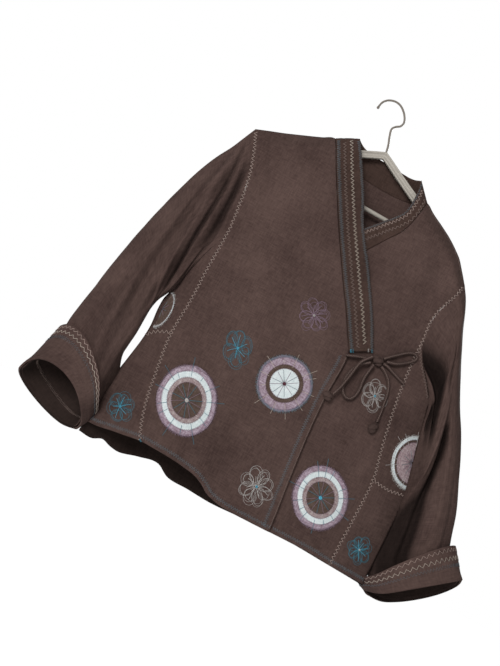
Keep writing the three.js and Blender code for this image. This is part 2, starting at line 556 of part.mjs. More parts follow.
// ---------------------------------------------------------------- hanger
function buildHanger() {
  const drop = line(ARM, "along", "drop");
  const reach = ARM.at(-1).along;
  const top = [];
  const low = [];
  const steps = 12;
  for (let i = -steps; i <= steps; i++) {
    const along = reach * i / steps;
    top.push(new THREE.Vector2(along, -drop(Math.abs(along))));
    low.unshift(new THREE.Vector2(along * UNDERCUT, -drop(Math.abs(along)) - HANGER.height));
  }
  const frame = new THREE.Group();
  frame.position.set(HANGER.x, 0, HANGER.z);
  frame.rotation.y = radians(HANGER.tilt);
  const arms = new THREE.ExtrudeGeometry(new THREE.Shape([...top, ...low]),
    { depth: HANGER.depth, bevelEnabled: false });
  arms.translate(0, 0, -HANGER.depth / 2).rotateX(Math.PI / 2);
  garment.add(frame);
  frame.add(add("hanger_arms", arms, GREY_WHITE, 0.4));

  // The bar runs between the undersides of the two arms.
  const along = line(ARM, "drop", "along");
  const barEnd = along(HANGER.barDrop - HANGER.bar / 2 - HANGER.height) * UNDERCUT - 2 * SEAM;
  const bar = new THREE.CylinderGeometry(HANGER.bar / 2, HANGER.bar / 2, 2 * barEnd, 12).rotateZ(Math.PI / 2);
  const barMesh = add("hanger_bar", bar, GREY_WHITE, 0.4);
  barMesh.position.set(0, 0, -HANGER.barDrop);
  frame.add(barMesh);

  const wire = new THREE.CatmullRomCurve3(HOOK_WIRE.map(([x, z]) => new THREE.Vector3(x, 0, z)));
  const section = new THREE.Shape(Array.from({ length: 8 }, (_, i) => {
    const a = Math.PI / 4 * i;
    return new THREE.Vector2(WIRE / 2 * Math.cos(a), WIRE / 2 * Math.sin(a));
  }));
  add("hook", new THREE.ExtrudeGeometry(section, { steps: 30, bevelEnabled: false, extrudePath: wire }),
    STEEL, 0.35, 0.8);
  const [tipX, tipZ] = HOOK_WIRE.at(-1);
  const tip = add("hook_tip", new THREE.SphereGeometry(HOOK_TIP, 12, 8), STEEL, 0.35, 0.8);
  tip.position.set(tipX, 0, tipZ - HOOK_TIP - 0.3);
}

buildBody();
buildBand();
buildSleeves();
buildPatches();
buildTies();
buildHanger();

export default garment;
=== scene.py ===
"""Looks of the kimono jacket on its hanger: cloth shells, ties, stitching, rings and flowers.

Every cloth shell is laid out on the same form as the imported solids, at a finer pitch and with its smaller
creases. Tables and form work in millimetres in the row frame: +Z up, +X towards the wearer's left, the
front faces -Y. Meshes are built in metres.
"""
import math

import bpy
import numpy as np
from mathutils import Matrix, Vector


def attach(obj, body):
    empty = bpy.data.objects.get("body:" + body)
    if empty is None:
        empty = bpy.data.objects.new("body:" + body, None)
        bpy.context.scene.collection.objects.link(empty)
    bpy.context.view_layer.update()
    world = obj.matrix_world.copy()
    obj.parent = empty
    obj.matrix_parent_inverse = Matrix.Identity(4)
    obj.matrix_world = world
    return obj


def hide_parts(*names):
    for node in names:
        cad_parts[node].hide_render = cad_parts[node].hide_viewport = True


bl_info = {
    "name": "Kimono jacket",
    "version": (1, 0, 0),
    "blender": (4, 2, 0),
    "location": "View3D > Sidebar > Jacket",
    "description": "Builds the jacket's cloth, ties, stitching and appliques around the packed part",
    "category": "Object",
}

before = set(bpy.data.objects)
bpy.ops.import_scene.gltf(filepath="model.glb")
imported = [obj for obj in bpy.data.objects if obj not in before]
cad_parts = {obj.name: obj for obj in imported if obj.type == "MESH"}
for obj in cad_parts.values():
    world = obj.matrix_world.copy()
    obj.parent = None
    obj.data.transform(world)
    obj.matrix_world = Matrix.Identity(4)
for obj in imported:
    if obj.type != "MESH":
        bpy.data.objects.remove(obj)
MM = 0.001
TAU = 2 * math.pi


def named(names, rows):
    return [dict(zip(names.split(), row)) for row in rows]


# ---------------------------------------------------------------- form, as in the solids (mm)
PRINCESS_RIGHT = named("z x", [
    (-160, -192), (-199, -176), (-237, -163), (-297, -152), (-350, -147), (-412, -148), (-479, -147),
    (-541, -149), (-577, -145), (-609, -140), (-643, -134), (-692, -121), (-722, -108)])
PRINCESS_LEFT = named("z x", [
    (-225, 252), (-255, 245), (-289, 232), (-319, 227), (-352, 230), (-391, 231), (-426, 234),
    (-460, 238), (-503, 245), (-546, 253), (-596, 264), (-642, 265), (-700, 264), (-756, 264)])
SIDE_RIGHT = named("z x", [
    (-470, -180), (-489, -189), (-512, -190), (-545, -187), (-569, -188), (-611, -194), (-642, -199),
    (-672, -202), (-704, -204), (-760, -208)])
SIDE_LEFT = named("z x", [
    (-434, 291), (-448, 293), (-464, 298), (-492, 305), (-515, 311), (-545, 318), (-566, 322),
    (-591, 327), (-618, 330), (-660, 332), (-709, 333), (-760, 334)])
BAND_SEAM = named("z x", [
    (-107, -64), (-147, -45), (-209, -11), (-254, 15), (-291, 38), (-327, 61), (-369, 89), (-405, 111),
    (-429, 126)])
WRAP_EDGE = named("z x", [
    (-429, 126), (-448, 129.5), (-481, 129), (-510, 128), (-542, 129), (-578, 131), (-614, 134),
    (-654, 138), (-690, 142), (-724, 146), (-760, 149)])
BAND_EDGE = named("z x", [
    (-87, -25), (-108, -14), (-148, 9), (-187, 31), (-218, 45), (-255, 68), (-290, 93), (-318, 111),
    (-362, 138), (-409, 163)])
UNDER_SEAM = named("z x", [
    (-130, 130), (-156, 125), (-185, 119), (-207, 110), (-223, 99), (-240, 88), (-260, 75), (-305, 46),
    (-370, 5), (-425, -34), (-460, -42), (-540, -44), (-640, -47), (-760, -52)])
UNDER_EDGE = named("z x", [
    (-100, 101), (-121, 104), (-143, 104), (-169, 100), (-186, 89), (-200, 77), (-215, 65), (-229, 53),
    (-282, 20), (-340, -22), (-405, -72)])
ARMHOLE_RIGHT_FRONT = PRINCESS_RIGHT[:5] + named("z x", [(-385, -159), (-425, -170), (-470, -180)])
ARMHOLE_RIGHT_BACK = named("z x", [
    (-160, -192), (-199, -176), (-237, -164), (-300, -153), (-360, -152), (-415, -160), (-470, -180)])
ARMHOLE_LEFT_FRONT = PRINCESS_LEFT[:5] + named("z x", [(-378, 243), (-405, 266), (-434, 291)])
ARMHOLE_LEFT_BACK = named("z x", [
    (-225, 252), (-255, 246), (-289, 236), (-325, 234), (-362, 241), (-398, 261), (-434, 291)])
SHOULDER_RIGHT = named("x z", [
    (-192, -160), (-169, -151), (-145, -142), (-121, -132), (-88, -118), (-64, -107)])
SHOULDER_LEFT = named("x z", [
    (130, -130), (149, -142), (177, -157), (191, -165), (212, -180), (223, -189), (238, -207),
    (252, -225)])
BACK_NECK_SEAM = named("x z", [
    (-64, -107), (-45, -121), (-20, -134), (20, -142), (60, -144), (95, -142), (116, -137), (130, -130)])
BACK_NECK_EDGE = named("x z", [
    (-25, -87), (-12, -93), (10, -97), (45, -99), (75, -101), (92, -101), (101, -100)])
FRONT_HEM = named("x z", [
    (-208, -737), (-185, -736), (-158, -731), (-133, -727), (-107, -723), (-79, -723), (-50, -724),
    (-21, -727), (0, -731), (16, -738), (28, -746), (43, -751), (63, -754), (115, -754), (188, -752),
    (226, -752), (266, -755), (304, -756), (334, -757)])
BACK_HEM = named("x z", [
    (-209, -757), (-184, -759), (-168, -752), (-151, -757), (-134, -759), (-100, -750), (-65, -744),
    (-40, -757), (0, -759), (46, -761), (100, -758), (180, -755), (260, -757), (334, -759)])
SIDE_TOP_RIGHT, SIDE_TOP_LEFT = ARMHOLE_RIGHT_FRONT[4:], ARMHOLE_LEFT_FRONT[4:]
SPLIT_RIGHT = named("x z", [(-188, -566), (-180, -556), (-166, -547), (-149, -541)])
SPLIT_LEFT = named("x z", [(264, -597), (297, -599), (327, -593)])
CROWN = named("x z", [
    (-260, -195), (-192, -160), (-145, -142), (-88, -118), (-64, -107), (-25, -87), (30, -72), (80, -80),
    (101, -100), (130, -130), (177, -157), (212, -180), (252, -225), (330, -330)])
FORM = named("z right left front back", [
    (-90, -250, 300, 0, 0), (-160, -250, 300, 10, 8), (-230, -255, 312, 20, 14),
    (-320, -250, 322, 26, 20), (-400, -220, 314, 29, 24), (-470, -188, 303, 31, 27),
    (-512, -192, 312, 33, 28), (-560, -190, 322, 34, 29), (-650, -200, 332, 38, 31),
    (-770, -209, 335, 42, 33)])
# Folds and creases: a line from (x0, z0) to (x1, z1), its half width and its height.
FOLD = "x0 z0 x1 z1 width rise"
FRONT_FOLDS = named(FOLD, [
    (-70, -560, -92, -790, 46, 13), (-165, -600, -178, -790, 22, -6), (40, -620, 26, -790, 26, -7),
    (-110, -200, -128, -420, 26, -4), (205, -200, 196, -330, 22, -6), (150, -190, 118, -300, 20, 4),
    (255, -470, 290, -600, 18, -4), (60, -190, -40, -520, 40, 3), (215, -640, 222, -790, 24, 4)])
BACK_FOLDS = named(FOLD, [
    (-90, -480, -140, -790, 30, 9), (-65, -600, -62, -790, 18, -8), (20, -430, 10, -790, 34, 6),
    (120, -500, 132, -790, 28, -6), (215, -470, 236, -790, 30, 7), (-110, -210, -60, -460, 28, -5),
    (190, -260, 150, -480, 26, -5)])
FRONT_CREASES = named(FOLD, [
    (-150, -190, -96, -420, 11, 1.6), (-20, -180, -70, -400, 14, 1.2), (-140, -360, -60, -480, 9, -1.2),
    (228, -300, 176, -392, 8, -2.2), (226, -332, 150, -404, 7, 1.6), (252, -250, 226, -330, 9, -2.4),
    (118, -452, 70, -560, 12, 1.1), (20, -520, -14, -700, 13, 1.3), (102, -600, 92, -752, 11, 1.5),
    (-44, -690, -52, -760, 9, 2.0), (-150, -640, -158, -740, 8, 1.6), (170, -560, 164, -740, 12, 1.2),
    (240, -480, 246, -640, 7, 1.3), (298, -480, 316, -590, 9, -2.2), (322, -600, 326, -740, 8, 2.2),
    (140, -270, 90, -250, 14, 1.6), (200, -240, 120, -300, 12, 1.2), (248, -470, 300, -520, 8, 1.4)])
BACK_CREASES = named(FOLD, [
    (-150, -200, -100, -400, 12, 2.0), (220, -260, 160, -420, 11, 1.8), (-30, -300, -52, -520, 14, 1.4),
    (70, -240, 84, -480, 15, 1.5), (150, -560, 160, -752, 12, 1.8), (-20, -640, -26, -756, 10, 2.2),
    (280, -520, 296, -740, 10, 2.0), (-170, -560, -176, -740, 9, 1.7), (40, -170, 60, -260, 18, -1.6),
    (-90, -300, -150, -380, 10, 1.5), (200, -470, 250, -540, 10, 1.6)])
SECTION = "ox oz ix iz y front back rise fall"
SLEEVE_RIGHT = named(SECTION, [
    (-193, -157, -180, -472, 0, 33, 30, 28, 28), (-213, -205, -185, -478, -1, 35, 31, 24, 20),
    (-238, -258, -194, -491, -3, 36, 31, 20, 12), (-262, -335, -201, -512, -5, 36, 31, 16, 8),
    (-280, -411, -202, -540, -7, 35, 32, 14, 6), (-293, -481, -202, -576, -9, 34, 33, 14, 4),
    (-301, -541, -205, -614, -12, 35, 33, 16, 2), (-309, -594, -208, -655, -15, 35, 33, 22, 0),
    (-311, -634, -211, -694, -18, 35, 34, 30, -4), (-320, -672, -217, -726, -20, 36, 35, 40, -10),
    (-338, -709, -225, -751.5, -22, 41, 40, 55, -18.5)])
SLEEVE_LEFT = named(SECTION, [
    (253, -224, 293, -436, 0, 34, 30, 0, 0), (269, -252, 299, -444, 0, 38, 32, 2, 2),
    (286, -295, 304, -456, 1, 41, 33, 5, 4), (312, -352, 310, -478, 2, 42, 34, 8, 6),
    (343, -415, 315.5, -514, 3, 40, 35, 6, 4), (372, -468, 323.5, -552, 4, 38, 36, 5, 2),
    (398, -525, 329.5, -592, 5, 37, 37, 5, 0), (420, -580, 334, -636, 6, 37, 37, 5, -4),
    (432, -622, 336, -680, 6, 37, 36, 5, -8), (444, -646, 339, -721, 6, 37, 36, 4, -14),
    (475, -673, 363, -757, 6, 41.2, 39.2, 5, -25)])
CUFF_RIGHT = named(SECTION, [
    (-318, -620, -210, -722, -17, 44, 42, 42, 6), (-324, -646, -211, -730, -18, 45, 43, 44, 0),
    (-332, -680, -214, -742, -20, 45, 43, 46, -8), (-341, -712, -222, -754, -22, 44, 42, 50, -19)])
CUFF_LEFT = named(SECTION, [
    (446, -629, 340.5, -752, 6, 47, 44, 18, -6), (457, -643, 344, -758, 6, 47, 44, 14, -12),
    (468, -658, 351, -762, 6, 46, 43, 10, -18), (479, -673, 361, -764, 6, 44, 42, 6, -26)])
# Folds along a sleeve: degrees round it and hundredths along it, half width and height.
TURNED = "x0 z0 x1 z1 width rise"
SLEEVE_RIGHT_FOLDS = named(TURNED, [
    (28, 4, 92, 62, 9, 7), (46, 5, 108, 55, 9, -9), (78, 6, 124, 42, 12, 6), (104, 2, 140, 36, 11, -9),
    (60, 55, 74, 86, 14, -5), (250, 5, 292, 60, 14, -6), (228, 12, 250, 70, 14, 5)])
SLEEVE_LEFT_FOLDS = named(TURNED, [
    (98, 8, 136, 46, 15, 6), (136, 16, 157, 50, 12, -7), (44, 22, 60, 95, 12, 4), (84, 46, 92, 96, 14, -6),
    (124, 42, 128, 92, 13, 5), (236, 10, 280, 62, 15, -6), (300, 30, 312, 90, 14, 5)])
SLEEVE_RIGHT_CREASES = named(TURNED, [
    (14, 8, 144, 36, 2.6, 8.0), (26, 5, 150, 29, 1.5, -11.0), (12, 8, 62, 28, 2.0, -5.0),
    (50, 3, 106, 11, 2.2, -12.0), (36, 8, 96, 15, 1.5, 4.0), (98, 8, 154, 13, 1.2, -4.5),
    (118, 12, 160, 22, 2.2, 3.0), (84, 40, 100, 92, 8, 3.0), (66, 36, 78, 90, 7, -2.6),
    (110, 44, 118, 92, 7, -3.0), (40, 48, 56, 88, 6, 2.4), (24, 60, 34, 96, 7, -2.0),
    (140, 50, 150, 95, 6, 2.6), (210, 20, 240, 80, 8, 2.4), (270, 30, 300, 80, 8, -2.6),
    (316, 20, 330, 80, 8, 2.0)])
SLEEVE_LEFT_CREASES = named(TURNED, [
    (126, 8, 106, 34, 18, -34.0), (140, 18, 152, 34, 9, -16.0), (112, 14, 74, 33, 4, 4.0),
    (72, 35, 154, 62, 2.6, 8.0), (70, 41, 112, 62, 3.4, -22.0), (114, 60, 109, 106, 9, -14.0),
    (138, 62, 130, 108, 28, -27.0), (60, 18, 72, 31, 2.5, -4.5), (66, 38, 76, 90, 9, 5.0),
    (44, 56, 50, 92, 5, -2.6), (84, 66, 80, 96, 8, 3.0), (24, 30, 30, 70, 7, -2.0),
    (164, 56, 168, 92, 6, -4.0), (220, 20, 250, 80, 8, 2.4), (264, 40, 290, 90, 8, -2.6),
    (320, 20, 326, 80, 8, 2.0)])
CLOTH, BAND_CLOTH = 1.6, 2.6        # thickness of the single cloth and of the doubled band
SEAM, ARMHOLE_SEAM = 0.3, 0.3       # gaps between panels, and beside the armholes
SIDE_STEP = 1.75                    # the outer faces stand this far from the middle plane at the sides
CREST, CREST_DROP = 12, 32          # depth of the rounded shoulder crest, and the height it takes
LENS = 4                            # how squarely the body's section fills out
WRAP_LIFT = 6                       # the over front lies this far above the under front
TIE_STEP = 60                       # width over which a tie comes down from the over front
CREASE_SHADE_DEPTH, CREASE_SHADE_STRENGTH = 15, 0.78    # depth of a crease that gets the full painted shade, and how much darker that painted shade makes its cloth
SHADED_INSIDE_BELOW = -640                   # the back's inside is painted in shade, as darker cloth, below this height
FADE = 0.15                         # a fold runs on past its ends by this share of its length
PUCKER, PUCKER_WIDTH = 0.9, 3.2     # depth and half width of the pucker along a seam
GATHER_RISE, GATHER_PITCH = 2.4, 9.5
GATHER_LEFT, GATHER_RIGHT, GATHER_LOW, GATHER_TOP = 292, 336, -682, -600
HEM_SWELL, HEM_WIDTH = 0.6, 17      # rise and width of the doubled hem
PLACKET_RISE, PLACKET_WIDTH, PLACKET_TOP = 0.7, 22, -424
SLEEVE_LEAD = 0.22                  # share of a sleeve over which it is led into the armhole
TUCK_SPREAD = 0.42                  # turn, in radians, over which the inner edge is tucked in


def mix(a, b, t):
    return a + (b - a) * t


def ease(t):
    t = np.clip(t, 0, 1)
    return t * t * (3 - 2 * t)


def line(table, key, out):
    """The smooth line through a table: column out as a function of column key, straight beyond its ends."""
    rows = sorted(table, key=lambda row: row[key])
    k = np.array([row[key] for row in rows], float)
    v = np.array([row[out] for row in rows], float)
    chord = np.diff(v) / np.diff(k)
    slope = np.concatenate([chord[:1], (chord[:-1] + chord[1:]) / 2, chord[-1:]])

    def at(where):
        where = np.asarray(where, float)
        i = np.clip(np.searchsorted(k, where, side="right") - 1, 0, len(k) - 2)
        step = k[i + 1] - k[i]
        t = np.clip((where - k[i]) / step, 0, 1)
        inside = (v[i] * (2 * t ** 3 - 3 * t ** 2 + 1) + v[i + 1] * (3 * t ** 2 - 2 * t ** 3)
                  + step * (slope[i] * (t ** 3 - 2 * t ** 2 + t) + slope[i + 1] * (t ** 3 - t ** 2)))
        low = v[0] + slope[0] * (where - k[0])
        high = v[-1] + slope[-1] * (where - k[-1])
        return np.where(where < k[0], low, np.where(where > k[-1], high, inside))
    return at


def down(table):
    return line(table, "z", "x")


def across(table):
    return line(table, "x", "z")


over_edge = down(BAND_SEAM + WRAP_EDGE[1:])
crown = across(CROWN)
front_hem = across(FRONT_HEM)
form = {c: line(FORM, "z", c) for c in ("right", "left", "front", "back")}
princess_right, princess_left = down(PRINCESS_RIGHT), down(PRINCESS_LEFT)


def fold_height(fold, a, b):
    """Height of a fold at a point: a soft ridge or trough along its line, fading at both ends."""
    da, db = fold["x1"] - fold["x0"], fold["z1"] - fold["z0"]
    length = math.hypot(da, db)
    t = ((a - fold["x0"]) * da + (b - fold["z0"]) * db) / length ** 2
    away = ((a - fold["x0"]) * db - (b - fold["z0"]) * da) / length
    fade = ease((t + FADE) / 0.4) * ease((1 + FADE - t) / 0.4)
    return fold["rise"] * np.exp(-(away / fold["width"]) ** 2) * fade


WAVES = named("a b phase rise", [
    (0.071, 0.018, 0.3, 0.30), (0.034, -0.052, 1.9, 0.34), (-0.093, 0.061, 4.1, 0.20),
    (0.124, 0.038, 2.2, 0.14), (0.021, 0.133, 5.0, 0.13), (-0.058, 0.109, 0.9, 0.16)])


def ripple(a, b):
    """The small unevenness that hangs in all of the cloth."""
    bend = 14 * np.sin(0.011 * a + 0.017 * b)
    return sum(w["rise"] * np.sin(w["a"] * (a + bend) + w["b"] * (b - bend) + w["phase"]) for w in WAVES)


def details(x, z, part):
    """Pucker along the seams, the gathers at the left side and the swell of doubled edges."""
    if part == "back":
        return np.zeros_like(x)
    pucker = 0
    for seam, until in ((princess_right, -160), (princess_left, -225)):
        away = np.abs(x - seam(z))
        along = (0.75 + 0.25 * np.sin(z / 2.6)) * (z < until)
        pucker = pucker - PUCKER * np.exp(-(away / PUCKER_WIDTH) ** 2) * along
    window = (ease((x - GATHER_LEFT) / 14) * ease((GATHER_RIGHT - x) / 8)
              * ease((z - GATHER_LOW) / 16) * ease((GATHER_TOP - z) / 14))
    gathers = GATHER_RISE * window * np.sin((z + 0.16 * x + 3 * np.sin(x / 9)) * TAU / GATHER_PITCH)
    hem = HEM_SWELL * ease((HEM_WIDTH - (z - front_hem(x))) / 3)
    return pucker + gathers + hem


def body_depth(x, z, part):
    """How far the body's outer face stands from the middle plane, on its front or back."""
    drop = np.clip((crown(x) - z) / CREST_DROP, 0, 1)
    middle = (form["left"](z) + form["right"](z)) / 2
    half = (form["left"](z) - form["right"](z)) / 2
    fill = np.maximum(0, 1 - np.abs((x - middle) / half) ** LENS)
    large, small = (BACK_FOLDS, BACK_CREASES) if part == "back" else (FRONT_FOLDS, FRONT_CREASES)
    folds = sum(fold_height(f, x, z) for f in large + small) + ripple(x, z if part == "front" else z + 91)
    crest = CREST * (1 - (1 - drop) ** 3)
    swell = fill * (crest + (form[part](z) + folds) * ease(drop))
    return SIDE_STEP + swell + details(x, z, part) * ease(drop)


def over_lift(x, z):
    return WRAP_LIFT * ease((x + 150) / 90) * ease((crown(x) - z) / 60)


def placket(x, z):
    """The facing along the wrap's edge is doubled."""
    inside = ease((PLACKET_WIDTH - (over_edge(z) - x)) / 9)
    return PLACKET_RISE * inside * ease((PLACKET_TOP - z) / 10)


def face(layer, x, z, out=0.0):
    """The outer face at (x, z): layer is over, under or back; out moves it off the cloth."""
    if layer == "back":
        return body_depth(x, z, "back") + out
    lift = over_lift(x, z) + placket(x, z) if layer == "over" else 0
    return -(body_depth(x, z, "front") + lift + out)


def tie_base(x, z, out):
    step = ease((over_edge(z) + TIE_STEP - x) / TIE_STEP)
    return mix(face("under", x, z, out), face("over", x, z, out), step)


def on_face(layer, x, z, out=0.0, level=0.0):
    """Points of the outer face, moved out along the cloth's normal, as rows of x, y, z."""
    x, z = np.broadcast_arrays(np.asarray(x, float), np.asarray(z, float))
    d = 0.5
    y = face(layer, x, z, level)
    slope_x = (face(layer, x + d, z, level) - face(layer, x - d, z, level)) / (2 * d)
    slope_z = (face(layer, x, z + d, level) - face(layer, x, z - d, level)) / (2 * d)
    side = 1 if layer == "back" else -1
    normal = np.stack([-slope_x * side, np.full_like(x, side), -slope_z * side], -1)
    normal /= np.linalg.norm(normal, axis=-1, keepdims=True)
    return np.stack([x, y, z], -1) + np.asarray(out)[..., None] * normal


def tube_form(sections, folds=()):
    """A tube through a table of sections: its points at turns in radians and places along it."""
    rows = [dict(row, at=i / (len(sections) - 1)) for i, row in enumerate(sections)]
    value = {c: line(rows, "at", c) for c in SECTION.split()}
    first, last = sections[0], sections[-1]
    up_the_sleeve = np.array([first["ox"] + first["ix"] - last["ox"] - last["ix"],
                              first["oz"] + first["iz"] - last["oz"] - last["iz"]])

    def shape(turn, along):
        turn, along = np.broadcast_arrays(np.asarray(turn, float), np.asarray(along, float))
        v = {c: value[c](along) for c in value}
        reach = np.stack([v["ix"] - v["ox"], v["iz"] - v["oz"]], -1)
        up = np.stack([-reach[..., 1], reach[..., 0]], -1)
        up /= np.linalg.norm(up, axis=-1, keepdims=True)
        up = np.where((up @ up_the_sleeve)[..., None] < 0, -up, up)
        front = np.sin(turn) >= 0
        bulge = np.abs(np.sin(turn)) ** 0.8
        middle = np.stack([v["ox"] + v["ix"], v["oz"] + v["iz"]], -1) / 2
        shift = bulge * np.where(front, v["rise"], v["fall"])
        p = middle + reach * (-np.cos(turn) / 2)[..., None] + up * shift[..., None]
        degrees = np.mod(np.degrees(turn), 360)
        fold = sum((fold_height(f, degrees, along * 100) for f in folds), np.zeros_like(turn))
        swell = bulge * np.where(front, v["front"], v["back"]) + fold * bulge
        y = v["y"] + np.where(front, -1, 1) * swell
        return np.stack([p[..., 0], y, p[..., 1]], -1)
    return shape


# How far a sleeve's inner edge is tucked in behind the body's side, and from which place along it.
TUCKS = {"sleeve_right": (11, 20, 0.58), "cuff_right": (11, 20, -1.0), "sleeve_left": (-12, 14, 0.0),
         "cuff_left": (-15, 16, -1.0)}


def tucked(name, turn, along):
    """The shift of a sleeve's or cuff's inner edge to the body, at a turn and a place along it."""
    x, y, begin = TUCKS[name]
    inner = np.exp(-((np.mod(turn, TAU) - math.pi) / TUCK_SPREAD) ** 2) * ease((along - begin) / 0.10)
    return inner[..., None] * np.array([x, y, 0])


def sleeve_form(name, sections, folds, armhole_front, armhole_back, layer, outside):
    """The sleeve's form with its upper end led into the armhole seam and its inner edge tucked in."""
    tube = tube_form(sections, folds)
    seam_front, seam_back = down(armhole_front), down(armhole_back)
    tip, underarm = armhole_front[0]["z"], armhole_front[-1]["z"]

    def armhole(turn):
        z = mix(tip, underarm, (1 - np.cos(turn)) / 2)
        front = np.sin(turn) >= 0
        x = np.where(front, seam_front(z), seam_back(z))
        slope = np.where(front, seam_front(z + 0.5) - seam_front(z - 0.5),
                         seam_back(z + 0.5) - seam_back(z - 0.5))
        y = np.where(front, face(layer, x, z), face("back", x, z))
        return np.stack([x + outside * ARMHOLE_SEAM * np.hypot(1, slope), y, z], -1)

    def shape(turn, along):
        turn, along = np.broadcast_arrays(np.asarray(turn, float), np.asarray(along, float))
        lead = ((1 - ease(along / SLEEVE_LEAD)) ** 1.4)[..., None]
        return tube(turn, along) + (armhole(turn) - tube(turn, 0.0)) * lead + tucked(name, turn, along)
    return shape


def cuff_form(name, sections):
    """The cuff's form, its inner edge tucked in with the sleeve's."""
    tube = tube_form(sections)
    return lambda turn, along: tube(turn, along) + tucked(name, *np.broadcast_arrays(turn, along))


def tube_points(shape, turn, along, out=0.0):
    """Points of a tube, moved out along its normal."""
    d = 0.02
    p = shape(turn, along)
    around = shape(turn + d, along) - shape(turn - d, along)
    length = shape(turn, along + d) - shape(turn, along - d)
    normal = np.cross(around, length)
    normal /= np.maximum(np.linalg.norm(normal, axis=-1, keepdims=True), 1e-9)
    turn = np.broadcast_to(turn, p.shape[:-1])
    flat = np.abs(np.sin(turn)) <= 0.3
    wrong = np.where(np.sin(turn) >= 0, normal[..., 1] > 0, normal[..., 1] < 0) & ~flat
    outward = ((p - (shape(turn + math.pi, along) + p) / 2) * normal).sum(-1)
    normal = np.where((wrong | (flat & (outward < 0)))[..., None], -normal, normal)
    return p + np.asarray(out)[..., None] * normal


# ---------------------------------------------------------------- meshes and materials
def mesh_object(name, points, faces, material, uv=None, zones=None, crease_shade=None):
    """A mesh object from rows of points in millimetres and lists of three or four corners."""
    mesh = bpy.data.meshes.new(name)
    points = np.asarray(points, float).reshape(-1, 3) * MM
    faces = np.asarray(faces, int)
    corners = faces.shape[1]
    mesh.vertices.add(len(points))
    mesh.vertices.foreach_set("co", points.ravel())
    mesh.loops.add(faces.size)
    mesh.loops.foreach_set("vertex_index", faces.ravel())
    mesh.polygons.add(len(faces))
    mesh.polygons.foreach_set("loop_start", np.arange(0, faces.size, corners))
    mesh.update(calc_edges=True)
    mesh.polygons.foreach_set("use_smooth", np.full(len(faces), True))
    if uv is not None:
        layer = mesh.uv_layers.new(name="cloth")
        layer.data.foreach_set("uv", (np.asarray(uv).reshape(-1, 2)[faces.ravel()] * MM).ravel())
    for m in material if isinstance(material, list) else [material]:
        mesh.materials.append(m)
    if zones is not None:
        mesh.polygons.foreach_set("material_index", zones)
    # Painted shade: each point's share of the darkening painted into the creases, read by the cloth material.
    if crease_shade is not None:
        mesh.attributes.new("crease_shade", "FLOAT", "POINT").data.foreach_set("value", crease_shade)
    obj = bpy.data.objects.new(name, mesh)
    bpy.context.scene.collection.objects.link(obj)
    return obj


def wall(name, outer, inner, material, uv, tube=False, zones=None, inner_shade=None, crease_shade=None):
    """A closed cloth wall between two grids of points, with its faces turned out."""
    rows, columns = outer.shape[:2]
    number = np.arange(rows * columns).reshape(rows, columns)
    right = np.roll(number, -1, 1)
    last = columns if tube else columns - 1
    a, b = number[:-1, :last], right[:-1, :last]
    c, d = right[1:, :last], number[1:, :last]
    skin = rows * columns
    front = np.stack([a, b, c, d], -1).reshape(-1, 4)
    sides = [front, front[:, ::-1] + skin]
    top, low = number[0, :last], number[-1, :last]
    top2, low2 = right[0, :last], right[-1, :last]
    sides.append(np.stack([top, top + skin, top2 + skin, top2], -1))
    sides.append(np.stack([low, low2, low2 + skin, low + skin], -1))
    if not tube:
        left, edge = number[:, 0], number[:, -1]
        sides.append(np.stack([left[:-1], left[1:], left[1:] + skin, left[:-1] + skin], -1))
        sides.append(np.stack([edge[:-1], edge[:-1] + skin, edge[1:] + skin, edge[1:]], -1))
    faces = np.concatenate(sides)
    points = np.concatenate([outer.reshape(-1, 3), inner.reshape(-1, 3)])
    p = points[faces]
    if (p[:, 0] * np.cross(p[:, 1], p[:, 2]) + p[:, 0] * np.cross(p[:, 2], p[:, 3])).sum() < 0:
        faces = faces[:, ::-1]
    # The inner faces can take other material slots than the outer ones; the cloth pieces use this for the
    # painted shade of their inside.
    if zones is not None:
        inner_shade = zones if inner_shade is None else inner_shade
        zones = np.concatenate([zones, inner_shade, np.zeros(len(faces) - 2 * len(zones), int)])
    if crease_shade is not None:
        crease_shade = np.tile(crease_shade.ravel(), 2)
    return mesh_object(name, points, faces, material, np.concatenate([uv, uv]), zones, crease_shade)


def tube_faces(number):
    """The faces between rings of numbered points, one row each."""
    after = np.roll(number, -1, 1)
    return np.stack([number[:-1], after[:-1], after[1:], number[1:]], -1).reshape(-1, 4)


def threads(name, lines, radius, material, sides=4):
    """Sewing thread: thin tubes along lines of points, all in one mesh."""
    points, faces, start = [], [], 0
    turn = np.arange(sides) * TAU / sides
    for path in lines:
        ahead = np.gradient(path, axis=0)
        ahead /= np.maximum(np.linalg.norm(ahead, axis=1, keepdims=True), 1e-9)
        side = np.cross(ahead, np.array([0.31, 0.93, 0.17]))
        side /= np.maximum(np.linalg.norm(side, axis=1, keepdims=True), 1e-9)
        up = np.cross(side, ahead)
        ring = side[:, None] * np.cos(turn)[None, :, None] + up[:, None] * np.sin(turn)[None, :, None]
        points.append((path[:, None] + radius * ring).reshape(-1, 3))
        number = start + np.arange(len(path) * sides).reshape(len(path), sides)
        faces.append(tube_faces(number))
        start += len(path) * sides
    return mesh_object(name, np.concatenate(points), np.concatenate(faces), material)


LIT = 0.24    # the tables hold how a colour looks under the stage's light; its surface is darker by this


def srgb(r, g, b):
    channel = [c / 255 for c in (r, g, b)]
    linear = [c / 12.92 if c <= 0.04045 else ((c + 0.055) / 1.055) ** 2.4 for c in channel]
    return (*(LIT * c for c in linear), 1.0)


def material(name, color, roughness, specular):
    found = bpy.data.materials.get(name)
    if found:
        return found
    made = bpy.data.materials.new(name)
    made.use_nodes = True
    shader = made.node_tree.nodes["Principled BSDF"]
    shader.inputs["Base Color"].default_value = color
    shader.inputs["Roughness"].default_value = roughness
    shader.inputs["Specular IOR Level"].default_value = specular
    return made


